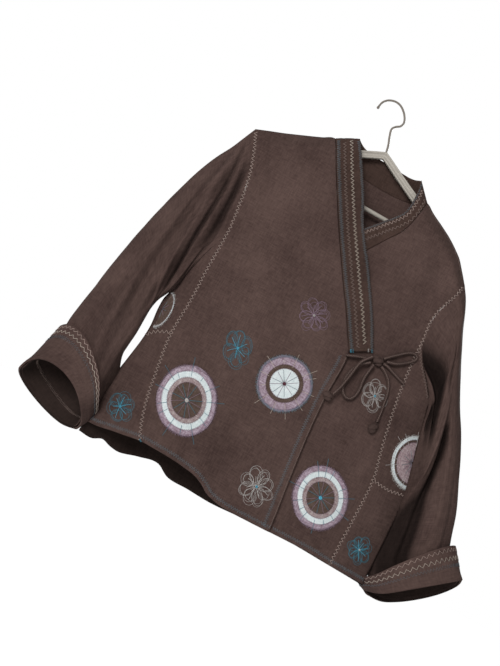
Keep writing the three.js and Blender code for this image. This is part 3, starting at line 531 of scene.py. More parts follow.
def noise(tree, vector, scale, detail, squash=None):
    """A noise texture over the cloth's own measure, stretched along one thread direction if asked."""
    node = tree.nodes.new("ShaderNodeTexNoise")
    node.inputs["Scale"].default_value = scale
    node.inputs["Detail"].default_value = detail
    if squash:
        mapping = tree.nodes.new("ShaderNodeMapping")
        mapping.inputs["Scale"].default_value = squash
        tree.links.new(vector, mapping.inputs["Vector"])
        vector = mapping.outputs["Vector"]
    tree.links.new(vector, node.inputs["Vector"])
    return node.outputs["Fac"]


FINE, COARSE = 520, 70          # scales of the weave across and along a thread
SLUB_SHARE, PATCH_SHARE = 1.7, 0.9
WEAR_FROM, WEAR_TO = 0.95, 1.70     # between these the cloth goes from fresh to worn
FRESH = 0.86                    # the darkest thread's share of the colour


def cloth_material(name, color, worn, depth=0.12, patch=14.0):
    """Plain weave: slubs along both threads, pale wear, painted shade (darker cloth) in creases, and a fine
    bump.
    """
    if bpy.data.materials.get(name):
        return bpy.data.materials[name]
    made = material(name, color, 0.95, 0.03)
    tree = made.node_tree
    shader = tree.nodes["Principled BSDF"]
    place = tree.nodes.new("ShaderNodeTexCoord")
    warp = noise(tree, place.outputs["UV"], 1.0, 2.0, (FINE, COARSE, 1))
    weft = noise(tree, place.outputs["UV"], 1.0, 2.0, (COARSE, FINE, 1))
    patchy = noise(tree, place.outputs["Object"], patch, 4.0)

    def calc(operation, a, b):
        node = tree.nodes.new("ShaderNodeMath")
        node.operation = operation
        for socket, value in zip(node.inputs, (a, b)):
            if isinstance(value, (int, float)):
                socket.default_value = value
            else:
                tree.links.new(value, socket)
        return node.outputs["Value"]
    slubs = calc("ADD", calc("MULTIPLY", warp, 0.5), calc("MULTIPLY", weft, 0.5))
    shade = calc("ADD", calc("MULTIPLY", slubs, SLUB_SHARE), calc("MULTIPLY", patchy, PATCH_SHARE))
    ramp = tree.nodes.new("ShaderNodeMapRange")
    ramp.inputs["From Min"].default_value = WEAR_FROM
    ramp.inputs["From Max"].default_value = WEAR_TO
    tree.links.new(shade, ramp.inputs["Value"])
    blend = tree.nodes.new("ShaderNodeMix")
    blend.data_type = "RGBA"
    blend.inputs[6].default_value = tuple(c * FRESH for c in color[:3]) + (1.0,)
    blend.inputs[7].default_value = worn
    tree.links.new(ramp.outputs["Result"], blend.inputs["Factor"])
    # Painted shade: the colour is darkened where the point attribute marks a deep crease, standing in for the
    # shade that falls there.
    crease_shade = tree.nodes.new("ShaderNodeAttribute")
    crease_shade.attribute_name = "crease_shade"
    crease_shaded_color = tree.nodes.new("ShaderNodeVectorMath")
    crease_shaded_color.operation = "SCALE"
    tree.links.new(blend.outputs[2], crease_shaded_color.inputs[0])
    dark = calc("MULTIPLY", crease_shade.outputs["Fac"], CREASE_SHADE_STRENGTH)
    tree.links.new(calc("SUBTRACT", 1.0, dark), crease_shaded_color.inputs["Scale"])
    tree.links.new(crease_shaded_color.outputs[0], shader.inputs["Base Color"])
    bump = tree.nodes.new("ShaderNodeBump")
    bump.inputs["Strength"].default_value = 0.5
    bump.inputs["Distance"].default_value = depth * MM
    tree.links.new(slubs, bump.inputs["Height"])
    tree.links.new(bump.outputs["Normal"], shader.inputs["Normal"])
    return made


def settle(obj, slot, *nodes):
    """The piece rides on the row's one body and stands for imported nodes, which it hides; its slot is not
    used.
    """
    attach(obj, "root")
    if nodes:
        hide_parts(*nodes)
    return obj


def turned(x, z, u, w, degrees):
    """The point at (x, z), moved by u and w along directions turned by some degrees."""
    c, s = math.cos(math.radians(degrees)), math.sin(math.radians(degrees))
    return x + u * c - w * s, z + u * s + w * c


# ---------------------------------------------------------------- colours
# Each cloth's colour, and its colour where it is worn. The inside finish is the same cloth painted darker, as
# painted shade inside the sleeves, cuffs and low back.
FINISH = {"cloth": ((76, 59, 55), (104, 84, 78)), "inside": ((40, 31, 28), (58, 46, 42)),
          "band": ((64, 49, 43), (90, 71, 64)), "tie": ((66, 52, 48), (92, 75, 70))}
THREAD = {"tan": (190, 168, 158), "cream": (208, 194, 180), "slate": (122, 136, 144),
          "teal": (70, 132, 150), "mauve": (150, 126, 142), "bright": (86, 178, 206),
          "white": (196, 190, 186), "wine": (96, 52, 62), "dim": (146, 126, 118)}


def cloth(name):
    color, worn = FINISH[name]
    return cloth_material("linen_" + name, srgb(*color), srgb(*worn))


def sewn(name, paths, radius, thread, slot="ring_cloth", sides=4):
    """Lines of sewing thread of one colour, as one piece of the body; the radius is in millimetres."""
    finish = material("thread_" + thread, srgb(*THREAD[thread]), 0.8, 0.08)
    settle(threads(name, paths, radius, finish, sides), slot)


# ---------------------------------------------------------------- settings
def setting(name, description, default, **kind):
    return bpy.props.FloatProperty(name=name, description=description, default=default, **kind)


def measure(name, description, default):
    return setting(name, description, default, unit="LENGTH")


class JacketCamera(bpy.types.PropertyGroup):
    distance: measure("Distance", "Camera to the jacket's plane", 2.0)
    roll: setting("Roll", "Turn about the line of sight", math.radians(28.5), subtype="ANGLE")
    tilt: setting("Tilt", "How far the camera looks up", math.radians(6), subtype="ANGLE")
    lens: setting("Lens", "Focal length in millimetres", 63.593)
    aim_x: measure("Aim X", "Aim point across", -0.0328)
    aim_z: measure("Aim Z", "Aim point's height", -0.4756)


class JacketCloth(bpy.types.PropertyGroup):
    pitch: measure("Pitch", "Size of a cloth shell's cells", 0.0032)
    sleeve_turns: bpy.props.IntProperty(name="Sleeve cells", description="Cells round a sleeve", default=150)
    fringe: measure("Fringe", "Length of the stitches round a ring", 0.0028)


class JacketStitch(bpy.types.PropertyGroup):
    radius: measure("Thread", "Radius of the zigzag thread", 0.00056)
    fine: measure("Fine thread", "Radius of the flowers' thread", 0.00034)
    jitter: measure("Unevenness", "How far stitches stray", 0.0004)


class JacketTie(bpy.types.PropertyGroup):
    diameter: measure("Diameter", "Thickness of the rolled tie", 0.0056)


class JacketStage(bpy.types.PropertyGroup):
    ambient: setting("Ambient", "Strength of the white surroundings", 1.0)
    key: setting("Key light", "Power of the soft light, in watts", 630.0)
    fill: setting("Fill light", "Power of the soft light behind, in watts", 420.0)
    floor: measure("Floor", "Height of the floor", -1.35)


# ---------------------------------------------------------------- cloth panels
STEP = SEAM / 2
shoulder_right, shoulder_left = across(SHOULDER_RIGHT), across(SHOULDER_LEFT)
PANELS = named("name layer left right top bottom corners gaps", [
    ("front_over", "over", princess_right, over_edge, shoulder_right, front_hem,
     (-160, -107, -723, -753), (STEP, 0, 0)),
    ("front_under", "under", down(UNDER_SEAM), princess_left, shoulder_left, front_hem,
     (-130, -225, -724, -755), (STEP, 0, 0)),
    ("side_front_upper_right", "over", down(SIDE_RIGHT), princess_right, across(SIDE_TOP_RIGHT),
     across(SPLIT_RIGHT), (-470, -350, -566, -541), (STEP, 2 * ARMHOLE_SEAM, STEP)),
    ("side_front_lower_right", "over", down(SIDE_RIGHT), princess_right, across(SPLIT_RIGHT), front_hem,
     (-566, -541, -737, -723), (STEP, STEP, 0)),
    ("side_front_upper_left", "under", princess_left, down(SIDE_LEFT), across(SIDE_TOP_LEFT),
     across(SPLIT_LEFT), (-352, -434, -597, -593), (SEAM, 2 * ARMHOLE_SEAM, STEP)),
    ("side_front_lower_left", "under", princess_left, down(SIDE_LEFT), across(SPLIT_LEFT), front_hem,
     (-597, -593, -755, -757), (STEP, STEP, 0)),
    ("back", "back", down(ARMHOLE_RIGHT_BACK + SIDE_RIGHT[1:]), down(ARMHOLE_LEFT_BACK + SIDE_LEFT[1:]),
     across(SHOULDER_RIGHT + BACK_NECK_SEAM[1:-1] + SHOULDER_LEFT), across(BACK_HEM),
     (-160, -225, -757, -759), (STEP, 0, 0))])


def straight(z0, x0, z1, x1):
    return lambda z: mix(x0, x1, (z - z0) / (z1 - z0))


def level(x0, z0, x1, z1):
    return lambda x: mix(z0, z1, (x - x0) / (x1 - x0))


BAND_LEVEL = 1.1
BANDS = named("name layer left right top bottom corners gaps", [
    ("neck_band_over", "over", down(BAND_SEAM), down(BAND_EDGE), level(-64, -107, -25, -87),
     level(126, -429, 163, -409), (-107, -87, -429, -409), (3 * SEAM, 0, 0)),
    ("neck_band_under", "under", down(UNDER_EDGE), down(UNDER_SEAM), level(101, -100, 130, -130),
     level(-72, -405, -34, -425), (-100, -130, -405, -425), (3 * SEAM, 0, 0)),
    ("neck_band_back", "back", straight(-87, -25, -107, -64), straight(-100, 101, -130, 130),
     across(BACK_NECK_EDGE), across(BACK_NECK_SEAM), (-87, -100, -107, -130), (0, 0, 0.3))])


def patch_grid(row, pitch):
    """The (x, z) grid of a cloth panel, with its share across and down."""
    top_left, top_right, low_left, low_right = row["corners"]
    heights = np.linspace(0, 1, 40)
    width = np.max(np.abs(row["right"](mix(top_right, low_right, heights))
                          - row["left"](mix(top_left, low_left, heights))))
    drop = max(abs(top_left - low_left), abs(top_right - low_right))
    columns, rows = max(8, int(width / pitch)), max(8, int(drop / pitch))
    r = np.linspace(0, 1, rows + 1)[:, None]
    s = np.linspace(0, 1, columns + 1)[None, :]
    z_left, z_right = mix(top_left, low_left, r), mix(top_right, low_right, r)
    gap, top_gap, low_gap = row["gaps"]
    x = mix(row["left"](z_left) + gap, row["right"](z_right) - gap, s)
    top_x = mix(row["left"](top_left), row["right"](top_right), s)
    low_x = mix(row["left"](low_left), row["right"](low_right), s)
    z = (mix(z_left, z_right, s) + (row["top"](top_x) - mix(top_left, top_right, s) - top_gap) * (1 - r)
         + (row["bottom"](low_x) - mix(low_left, low_right, s) + low_gap) * r)
    return x, z, np.broadcast_to(s, x.shape), np.broadcast_to(r, x.shape)


def sheet(obj, slot):
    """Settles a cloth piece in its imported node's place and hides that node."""
    name = obj.name.removesuffix("_cloth")
    settle(obj, slot, name)


def build_panel(row, finish, slot, pitch, thickness, raised=0.0, channels=None):
    x, z, s, r = patch_grid(row, pitch / MM)
    swell = channels(s, r) if channels else 0.0
    outer = on_face(row["layer"], x, z, swell, raised)
    inner = on_face(row["layer"], x, z, -thickness, raised)
    # Painted shade: below a set height the back's inner faces take the darker inside cloth, for the shade
    # inside the hem.
    deep = ((z[1:, 1:] < SHADED_INSIDE_BELOW) & (row["layer"] == "back")).astype(int).ravel()
    obj = wall(row["name"] + "_cloth", outer, inner, [cloth(finish), cloth("inside")], np.stack([x, z], -1),
               zones=np.zeros_like(deep), inner_shade=deep)
    sheet(obj, slot)


class JACKET_OT_body(bpy.types.Operator):
    """Builds the fronts, side fronts and back as thin cloth shells."""
    bl_idname = "jacket.body"
    bl_label = "Body"

    def execute(self, context):
        for row in PANELS:
            build_panel(row, "cloth", "cloth", context.scene.jacket_cloth.pitch, CLOTH)
        return {"FINISHED"}


def band_channels(s, r):
    """The band is doubled and stitched: its rows of stitching sit in shallow channels."""
    rows = sum(np.exp(-((s - at) / 0.05) ** 2) for at in (0.08, 0.33, 0.79, 0.95))
    return 0.5 * np.sin(math.pi * np.clip(s, 0, 1)) ** 0.3 - 0.45 * rows + 0.12 * np.sin(r * 160 + 5 * s)


class JACKET_OT_bands(bpy.types.Operator):
    """Builds the three lengths of the neck band."""
    bl_idname = "jacket.bands"
    bl_label = "Neck bands"

    def execute(self, context):
        pitch = context.scene.jacket_cloth.pitch * 0.55
        for row in BANDS:
            channels = band_channels if row["layer"] == "over" else None
            build_panel(row, "band", "band_cloth", pitch, BAND_CLOTH, BAND_LEVEL, channels)
        return {"FINISHED"}


sleeve_right = sleeve_form("sleeve_right", SLEEVE_RIGHT, SLEEVE_RIGHT_FOLDS + SLEEVE_RIGHT_CREASES,
                           ARMHOLE_RIGHT_FRONT, ARMHOLE_RIGHT_BACK, "over", -1)
sleeve_left = sleeve_form("sleeve_left", SLEEVE_LEFT, SLEEVE_LEFT_FOLDS + SLEEVE_LEFT_CREASES,
                          ARMHOLE_LEFT_FRONT, ARMHOLE_LEFT_BACK, "under", 1)
TUBES = named("name shape length rings creases", [
    ("sleeve_right", sleeve_right, 560, 190, SLEEVE_RIGHT_CREASES),
    ("sleeve_left", sleeve_left, 520, 180, SLEEVE_LEFT_CREASES),
    ("cuff_right", cuff_form("cuff_right", CUFF_RIGHT), 90, 34, ()),
    ("cuff_left", cuff_form("cuff_left", CUFF_LEFT), 60, 30, ())])
TUBE_RADIUS = 42    # a sleeve's mean radius, for the measure of its weave


class JACKET_OT_sleeves(bpy.types.Operator):
    """Builds the sleeves and their turned-back cuffs."""
    bl_idname = "jacket.sleeves"
    bl_label = "Sleeves"

    def execute(self, context):
        turns = context.scene.jacket_cloth.sleeve_turns
        for row in TUBES:
            turn = (np.arange(turns) + 0.5)[None, :] * TAU / turns
            along = np.linspace(0, 1, row["rings"] + 1)[:, None]
            turn, along = np.broadcast_arrays(turn, along)
            cuff = row["name"].startswith("cuff")
            small = ripple(np.degrees(turn) * 1.3, along * row["length"]) * ease(along / 0.1)
            small = small * (1 - cuff * 0.6)
            roll = cuff * (2.0 * np.exp(-((1 - along) / 0.16) ** 2) + 0.5 * np.exp(-(along / 0.12) ** 2))
            outer = tube_points(row["shape"], turn, along, small * 0.8 + roll)
            inner = tube_points(row["shape"], turn, along, small * 0.8 - CLOTH)
            uv = np.stack([turn * TUBE_RADIUS, along * row["length"]], -1)
            # Painted shade: the deeper a crease goes in, the darker its cloth is painted, up to full
            # darkening at a set depth.
            depth = sum((fold_height(f, np.degrees(turn), along * 100) for f in row["creases"]), 0 * turn)
            # Painted shade: all inner faces of the sleeves and cuffs take the darker inside cloth, for the
            # shade within them.
            cells = np.zeros(row["rings"] * turns, int)
            obj = wall(row["name"] + "_cloth", outer, inner, [cloth("cloth"), cloth("inside")], uv, tube=True,
                       zones=cells, inner_shade=cells + 1, crease_shade=np.clip(-depth / CREASE_SHADE_DEPTH, 0, 1))
            sheet(obj, "cloth")
        return {"FINISHED"}


# ---------------------------------------------------------------- rings and flowers
RINGS = named("name x z across up tilt begin end layer scheme spokes", [
    ("ring_patch_hem_right", -71, -629, 49, 58, 28, 0, 360, "over", "pale", 14),
    ("ring_patch_wrap", 57, -528, 46, 47, 0, 0, 360, "over", "disc", 12),
    ("ring_patch_hem_left", 197.5, -664.5, 46, 52, 28, 0, 360, "under", "pale", 14),
    ("half_patch_left", 312.5, -539, 38, 46, 14.5, 90, 270, "under", "arc", 9),
    ("half_patch_right", -181.5, -512, 16, 33, 2, -90, 90, "over", "rim", 5)])
# Printed zones, from the centre out: outer share of the radius and its print.
ZONES = named("scheme upto print", [
    ("pale", 0.51, "brown"), ("pale", 0.65, "rose"), ("pale", 0.83, "aqua"), ("pale", 1.0, "mauve"),
    ("disc", 0.53, "aqua"), ("disc", 0.68, "brown"), ("disc", 0.92, "mauve"), ("disc", 1.0, "slate"),
    ("arc", 0.76, "pink"), ("arc", 0.86, "brown"), ("arc", 1.0, "aqua"),
    ("rim", 0.93, "brown"), ("rim", 1.0, "aqua")])
# Each print's ground and the flecks on it.
PRINTS = {"aqua": ((226, 240, 242), (246, 252, 252)), "mauve": ((136, 108, 120), (204, 188, 202)),
          "rose": ((136, 104, 108), (200, 188, 186)), "brown": ((84, 66, 58), (108, 92, 84)),
          "slate": ((98, 112, 128), (166, 142, 158)), "pink": ((150, 120, 126), (208, 190, 192))}
# The threads of each ring's spokes, by turns, and of the stitches outside them.
SPOKE_THREAD = {"pale": ("teal", "mauve", "teal"), "disc": ("slate", "mauve", "cream"),
                "arc": ("mauve", "slate", "white"), "rim": ("slate", "mauve", "dim")}
CENTRES = {"ring_patch_hem_right": "white", "ring_patch_wrap": "wine", "ring_patch_hem_left": "bright"}
EDGE_THREAD = {"pale": "mauve", "disc": "slate", "arc": "white", "rim": "white"}
PATCH_OUT, RING_TOP = 0.6, 1.5    # a ring's inner and outer face stand this far off the cloth
PRINT_BUMP, PRINT_PATCH = 0.2, 330.0    # depth of a print's weave and scale of its flecks
PRINT_RINGS = 4    # rings of cells across a printed zone


def ring_point(row, angle, reach, out):
    u, w = row["across"] * reach * np.cos(angle), row["up"] * reach * np.sin(angle)
    return on_face(row["layer"], *turned(row["x"], row["z"], u, w, row["tilt"]), out)


def zones_of(row):
    return [zone for zone in ZONES if zone["scheme"] == row["scheme"]]


class JACKET_OT_rings(bpy.types.Operator):
    """Builds the sewn-on rings with their printed zones, spokes and edge stitches."""
    bl_idname = "jacket.rings"
    bl_label = "Rings"

    def execute(self, context):
        stitch = context.scene.jacket_stitch
        fringe = context.scene.jacket_cloth.fringe / MM
        random = np.random.RandomState(7)
        for row in RINGS:
            whole = row["end"] - row["begin"] == 360
            begin, end = math.radians(row["begin"]), math.radians(row["end"])
            zones = zones_of(row)
            edges = [0.06]
            for zone in zones:
                edges += list(np.linspace(edges[-1], zone["upto"], PRINT_RINGS + 1)[1:])
            turns = 96 if whole else 56
            angle = np.linspace(begin, end, turns + 1)[None, :-1 if whole else None]
            reach = np.array(edges)[:, None]
            angle, reach = np.broadcast_arrays(angle, reach)
            uneven = 1 + 0.012 * np.sin(3 * angle + row["x"]) + 0.008 * np.sin(7 * angle)
            reach = np.minimum(reach * mix(1, uneven, ease((reach - 0.3) / 0.6)), 1.02)
            outer = ring_point(row, angle, reach, RING_TOP)
            inner = ring_point(row, angle, reach, PATCH_OUT)
            prints = [cloth_material("print_" + name, *(srgb(*color) for color in PRINTS[name]),
                                     PRINT_BUMP, PRINT_PATCH)
                      for name in (zone["print"] for zone in zones)]
            per = turns if whole else angle.shape[1] - 1
            index = np.repeat(np.arange(len(zones)), PRINT_RINGS * per)
            obj = wall(row["name"] + "_cloth", outer, inner, prints,
                       np.stack([outer[..., 0], outer[..., 2]], -1), tube=whole, zones=index)
            sheet(obj, "ring_cloth")
            self.spokes(row, begin, end, whole, random, stitch)
            self.border(row, begin, end, random, fringe, stitch)
        return {"FINISHED"}

    def spokes(self, row, begin, end, whole, random, stitch):
        """Straight stitches from the centre out, a few of them running past the edge."""
        *inner_colors, outer_color = SPOKE_THREAD[row["scheme"]]
        lines = {color: [] for color in (*inner_colors, outer_color)}
        for i in range(row["spokes"]):
            share = i / row["spokes"] if whole else (i + 0.5) / row["spokes"]
            angle = mix(begin, end, share) + random.uniform(-0.07, 0.07)
            inner = 0.05, random.uniform(0.46, 0.54)
            outer = random.uniform(0.62, 0.72), random.choice([0.86, 0.98, 1.16, 1.26])
            for (first, last), bend, color in ((inner, 0.0, inner_colors[i % 2]),
                                               (outer, random.uniform(-0.12, 0.12), outer_color)):
                reach = np.linspace(first, last, 16)
                out = np.where(reach < 1.0, RING_TOP + 0.25, 0.35)
                lines[color].append(ring_point(row, np.full(16, angle + bend), reach, out))
        for color, paths in lines.items():
            sewn(row["name"] + "_spokes_" + color, paths, stitch.fine / MM, color)
        if row["name"] in CENTRES:
            around = np.linspace(0, TAU * 3, 60)
            coil = ring_point(row, around, np.linspace(0.01, 0.055, 60), RING_TOP + 0.6)
            sewn(row["name"] + "_dot", [coil], 0.75, CENTRES[row["name"]])

    def border(self, row, begin, end, random, fringe, stitch):
        """Short stitches over the patch's edge all round, and circles of small stitches within it."""
        span = abs(end - begin)
        count = int(span * (row["across"] + row["up"]) / 2 / 1.5)
        size = (row["across"] + row["up"]) / 2
        edge = []
        for angle in np.linspace(begin, end, count, endpoint=False):
            into, past = -fringe * random.uniform(0.7, 1.1), fringe * random.uniform(0.3, 1.0)
            reach = 1 + np.array([into, 0, past]) / size
            out = np.array([RING_TOP + 0.2, RING_TOP + 0.15, 0.3])
            edge.append(ring_point(row, angle + random.uniform(-0.03, 0.03, 3), reach, out))
        sewn(row["name"] + "_edge", edge, stitch.fine / MM, EDGE_THREAD[row["scheme"]], sides=3)
        inside = []
        for zone in zones_of(row)[:-1]:
            angle = np.linspace(begin, end, int(span * zone["upto"] * size / 1.7))
            reach = zone["upto"] + 0.018 * np.where(np.arange(len(angle)) % 2, 1, -1)
            inside.append(ring_point(row, angle, reach, RING_TOP + 0.2))
        sewn(row["name"] + "_circles", inside, stitch.fine / MM * 0.9, "mauve", sides=3)


FLOWERS = named("name x z across up tilt petals turn thread heart layer", [
    ("flower_teal_right", -163, -689, 24, 27, 28, 6, 8, "teal", "bright", "over"),
    ("flower_teal_middle", -38, -513, 24, 34, 28, 6, 14, "teal", "bright", "over"),
    ("flower_mauve", 47, -404, 28, 29, 28, 8, 4, "mauve", "white", "over"),
    ("flower_white_right", 96, -698, 29, 33, 28, 8, 10, "white", "bright", "over"),
    ("flower_white_left", 200, -473, 24, 28, 28, 6, 20, "white", "bright", "under"),
    ("flower_teal_left", 298, -709, 22, 26, 28, 7, 0, "teal", "white", "under")])


PETAL_WIDTH, PETAL_LEAN, PETAL_ROUNDS = 0.98, 0.11, 3
LOOP_THREAD, RAY_THREAD, HEART_THREAD = 0.7, 1.2, 2.2    # shares of the fine thread's radius


class JACKET_OT_flowers(bpy.types.Operator):
    """Builds the looped flowers sewn in thread, each petal gone round more than once."""
    bl_idname = "jacket.flowers"
    bl_label = "Flowers"

    def execute(self, context):
        stitch = context.scene.jacket_stitch
        random = np.random.RandomState(11)
        for row in FLOWERS:
            def place(u, w, out=0.3):
                u, w = u * row["across"], w * row["up"]
                return on_face(row["layer"], *turned(row["x"], row["z"], u, w, row["tilt"]), out)
            loops, hearts = [], []
            for petal in range(row["petals"]):
                lean = TAU * petal / row["petals"] + math.radians(row["turn"]) + random.uniform(-0.08, 0.08)
                width = PETAL_WIDTH * math.sin(math.pi / row["petals"])
                for _ in range(PETAL_ROUNDS):
                    t = np.linspace(0, TAU, 44)
                    along = mix(random.uniform(0.02, 0.30), random.uniform(0.76, 1.06), (1 - np.cos(t)) / 2)
                    side = width * random.uniform(0.72, 1.05) * np.sin(t) * (0.75 + 0.25 * along)
                    angle = lean + random.uniform(-PETAL_LEAN, PETAL_LEAN)
                    loops.append(place(along * math.cos(angle) - side * math.sin(angle),
                                       along * math.sin(angle) + side * math.cos(angle)))
                ray = np.linspace(0.02, random.uniform(0.5, 0.78), 12)
                bend = 0.06 * np.sin(ray * 3 + petal)
                hearts.append(place(ray * math.cos(lean) - bend * math.sin(lean),
                                    ray * math.sin(lean) + bend * math.cos(lean), 0.5))
            around = np.linspace(0, TAU * 2, 30)
            dot = place(0.045 * np.cos(around), 0.045 * np.sin(around), 0.9)
            pale = row["thread"] if row["thread"] != "teal" else "bright"
            for part, paths, radius, color in (("loops", loops, LOOP_THREAD, row["thread"]),
                                               ("rays", hearts, RAY_THREAD, pale),
                                               ("dot", [dot], HEART_THREAD, row["heart"])):
                sewn(row["name"] + "_" + part, paths, stitch.fine / MM * radius, color)
        return {"FINISHED"}


# ---------------------------------------------------------------- stitching
def even(points, step):
    """The line at even steps along its length."""
    length = np.concatenate([[0], np.cumsum(np.linalg.norm(np.diff(points, axis=0), axis=1))])
    count = max(4, int(length[-1] / step))
    at = np.linspace(0, length[-1], count + 1)
    return np.stack([np.interp(at, length, points[:, i]) for i in range(points.shape[1])], -1)


def zigzag(points, pitch, swing, offset, jitter, random):
    """A zigzag about a line in (x, z), off to one side of it by offset."""
    path = even(points, pitch / 2)
    ahead = np.gradient(path, axis=0)
    ahead /= np.linalg.norm(ahead, axis=1, keepdims=True)
    side = np.stack([ahead[:, 1], -ahead[:, 0]], -1)
    reach = offset + swing / 2 * np.where(np.arange(len(path)) % 2, 1, -1)
    path = path + side * (reach + random.uniform(-jitter, jitter, len(path)))[:, None]
    path = path + ahead * random.uniform(-jitter, jitter, len(path))[:, None]
    middle = (path[:-1] + path[1:]) / 2
    full = np.empty((len(path) * 2 - 1, 2))
    full[0::2], full[1::2] = path, middle
    return full


def run(table, key, first, last):
    """Points of a seam between two values of its key, as (x, z)."""
    at = np.linspace(first, last, 120)
    other = line(table, key, "x" if key == "z" else "z")(at)
    return np.stack([other, at] if key == "z" else [at, other], -1)


# Rows of stitching on the fronts: along which seam, from where to where, how far to its side (positive to
# the left going down, to the front's low side going across), swing, pitch, share of the thread's radius.
ROWS = named("name layer table key first last offset swing pitch thick thread level", [
    ("princess_right", "over", PRINCESS_RIGHT, "z", -166, -722, -0.6, 5.4, 6.8, 0.9, "tan", 0),
    ("princess_left", "under", PRINCESS_LEFT, "z", -232, -754, 0.6, 5.4, 6.8, 0.9, "tan", 0),
    ("split_right", "over", SPLIT_RIGHT, "x", -186, -150, 0, 5.2, 6.8, 0.9, "tan", 0),
    ("split_left", "under", SPLIT_LEFT, "x", 266, 327, 0, 5.2, 6.8, 0.9, "tan", 0),
    ("band_outer", "over", BAND_SEAM, "z", -112, -427, -5.0, 6.4, 3.9, 0.5, "slate", 2.2),
    ("band_dim", "over", BAND_SEAM, "z", -116, -425, -15.5, 5.4, 6.6, 0.85, "dim", 2.2),
    ("band_bright", "over", BAND_SEAM, "z", -110, -420, -27.5, 5.4, 7.1, 0.9, "cream", 2.2),
    ("band_inner", "over", BAND_EDGE, "z", -92, -408, 3.6, 5.6, 3.9, 0.5, "slate", 2.2),
    ("under_band_a", "under", UNDER_EDGE, "z", -116, -262, -7.5, 5.2, 6.8, 0.85, "tan", 1.1),
    ("under_band_b", "under", UNDER_EDGE, "z", -128, -274, -18.5, 5.2, 6.8, 0.85, "dim", 1.1),
    ("under_band_c", "under", UNDER_EDGE, "z", -106, -262, -2.6, 3.2, 3.9, 0.5, "slate", 1.1),
    ("wrap_row", "over", WRAP_EDGE, "z", -440, -748, 12.0, 6.4, 4.0, 0.5, "slate", 0),
    ("wrap_edge", "over", WRAP_EDGE, "z", -440, -748, 2.0, 1.6, 3.0, 0.5, "dim", 0),
    ("hem_right", "over", FRONT_HEM, "x", -204, 146, -8.0, 6.4, 4.0, 0.5, "slate", 0),
    ("hem_left", "under", FRONT_HEM, "x", 152, 330, -8.0, 6.4, 4.0, 0.5, "slate", 0),
    ("back_hem", "back", BACK_HEM, "x", -200, 326, -8.0, 6.4, 4.0, 0.5, "slate", 0),
    ("shoulder_left", "under", SHOULDER_LEFT, "x", 134, 246, 3.4, 2.2, 3.0, 0.6, "dim", 0),
    ("armhole_left", "under", ARMHOLE_LEFT_FRONT, "z", -356, -428, 3.0, 4.4, 5.4, 0.7, "dim", 0),
    ("armhole_back_right", "back", ARMHOLE_RIGHT_BACK, "z", -170, -460, -3.0, 5.4, 5.4, 1.0, "tan", 0),
    ("armhole_back_left", "back", ARMHOLE_LEFT_BACK, "z", -232, -426, 3.0, 5.4, 5.4, 1.0, "tan", 0)])
# Rows round the sleeves and cuffs: place along the tube, swing in hundredths of it, stitches round it.
ROUNDS = named("name tube along swing count begin end out thick thread", [
    ("cuff_right_a", "cuff_right", 0.09, 8.0, 84, 0, 360, 0.4, 0.9, "tan"),
    ("cuff_right_b", "cuff_right", 0.24, 7.0, 84, 0, 360, 0.4, 0.9, "cream"),
    ("cuff_right_c", "cuff_right", 0.38, 8.0, 170, 0, 360, 0.4, 0.5, "slate"),
    ("cuff_left_a", "cuff_left", 0.12, 11.0, 94, 0, 360, 0.4, 0.85, "tan"),
    ("cuff_left_b", "cuff_left", 0.36, 12.0, 94, 0, 360, 0.4, 0.9, "cream"),
    ("cuff_left_c", "cuff_left", 0.56, 10.0, 170, 0, 360, 0.4, 0.5, "slate"),
    ("inside_right", "sleeve_right", 0.93, 1.2, 110, 190, 350, -2.2, 0.9, "dim"),
    ("inside_left", "sleeve_left", 0.93, 1.2, 110, 190, 350, -2.2, 0.9, "dim")])
BAR_TACKS = named("x z angle thread level", [
    (128.5, -427, 118, "bright", 2.2), (132, -425.5, 118, "teal", 2.2), (160, -410.5, 118, "teal", 2.2),
    (154, -412, 118, "white", 2.2), (-204.5, -733, 30, "teal", 0), (-106, -722, 150, "teal", 0)])


class JACKET_OT_stitching(bpy.types.Operator):
    """Sews the zigzags and dense rows along the seams, bands, hems and cuffs."""
    bl_idname = "jacket.stitching"
    bl_label = "Stitching"

    def execute(self, context):
        stitch = context.scene.jacket_stitch
        random = np.random.RandomState(5)
        for row in ROWS:
            path = run(row["table"], row["key"], row["first"], row["last"])
            flat = zigzag(path, row["pitch"], row["swing"], row["offset"], stitch.jitter / MM, random)
            points = on_face(row["layer"], flat[:, 0], flat[:, 1], 0.3, row["level"])
            sewn("sewn_" + row["name"], [points], stitch.radius / MM * row["thick"], row["thread"],
                 "tie_cloth")
        shapes = {row["name"]: row["shape"] for row in TUBES}
        for row in ROUNDS:
            turn = np.radians(np.linspace(row["begin"], row["end"], row["count"]))
            along = row["along"] + row["swing"] / 200 * np.where(np.arange(row["count"]) % 2, 1, -1)
            points = tube_points(shapes[row["tube"]], turn, along, row["out"])
            sewn("sewn_" + row["name"], [points], stitch.radius / MM * row["thick"], row["thread"],
                 "tie_cloth")
        for i, row in enumerate(BAR_TACKS):
            wave = 0.9 * np.where(np.arange(9) % 2, 1, -1)
            x, z = turned(row["x"], row["z"], np.linspace(-2.6, 2.6, 9), wave, row["angle"])
            sewn(f"bar_tack_{i}", [on_face("over", x, z, 0.5, row["level"])], 0.6, row["thread"], "tie_cloth")
        return {"FINISHED"}


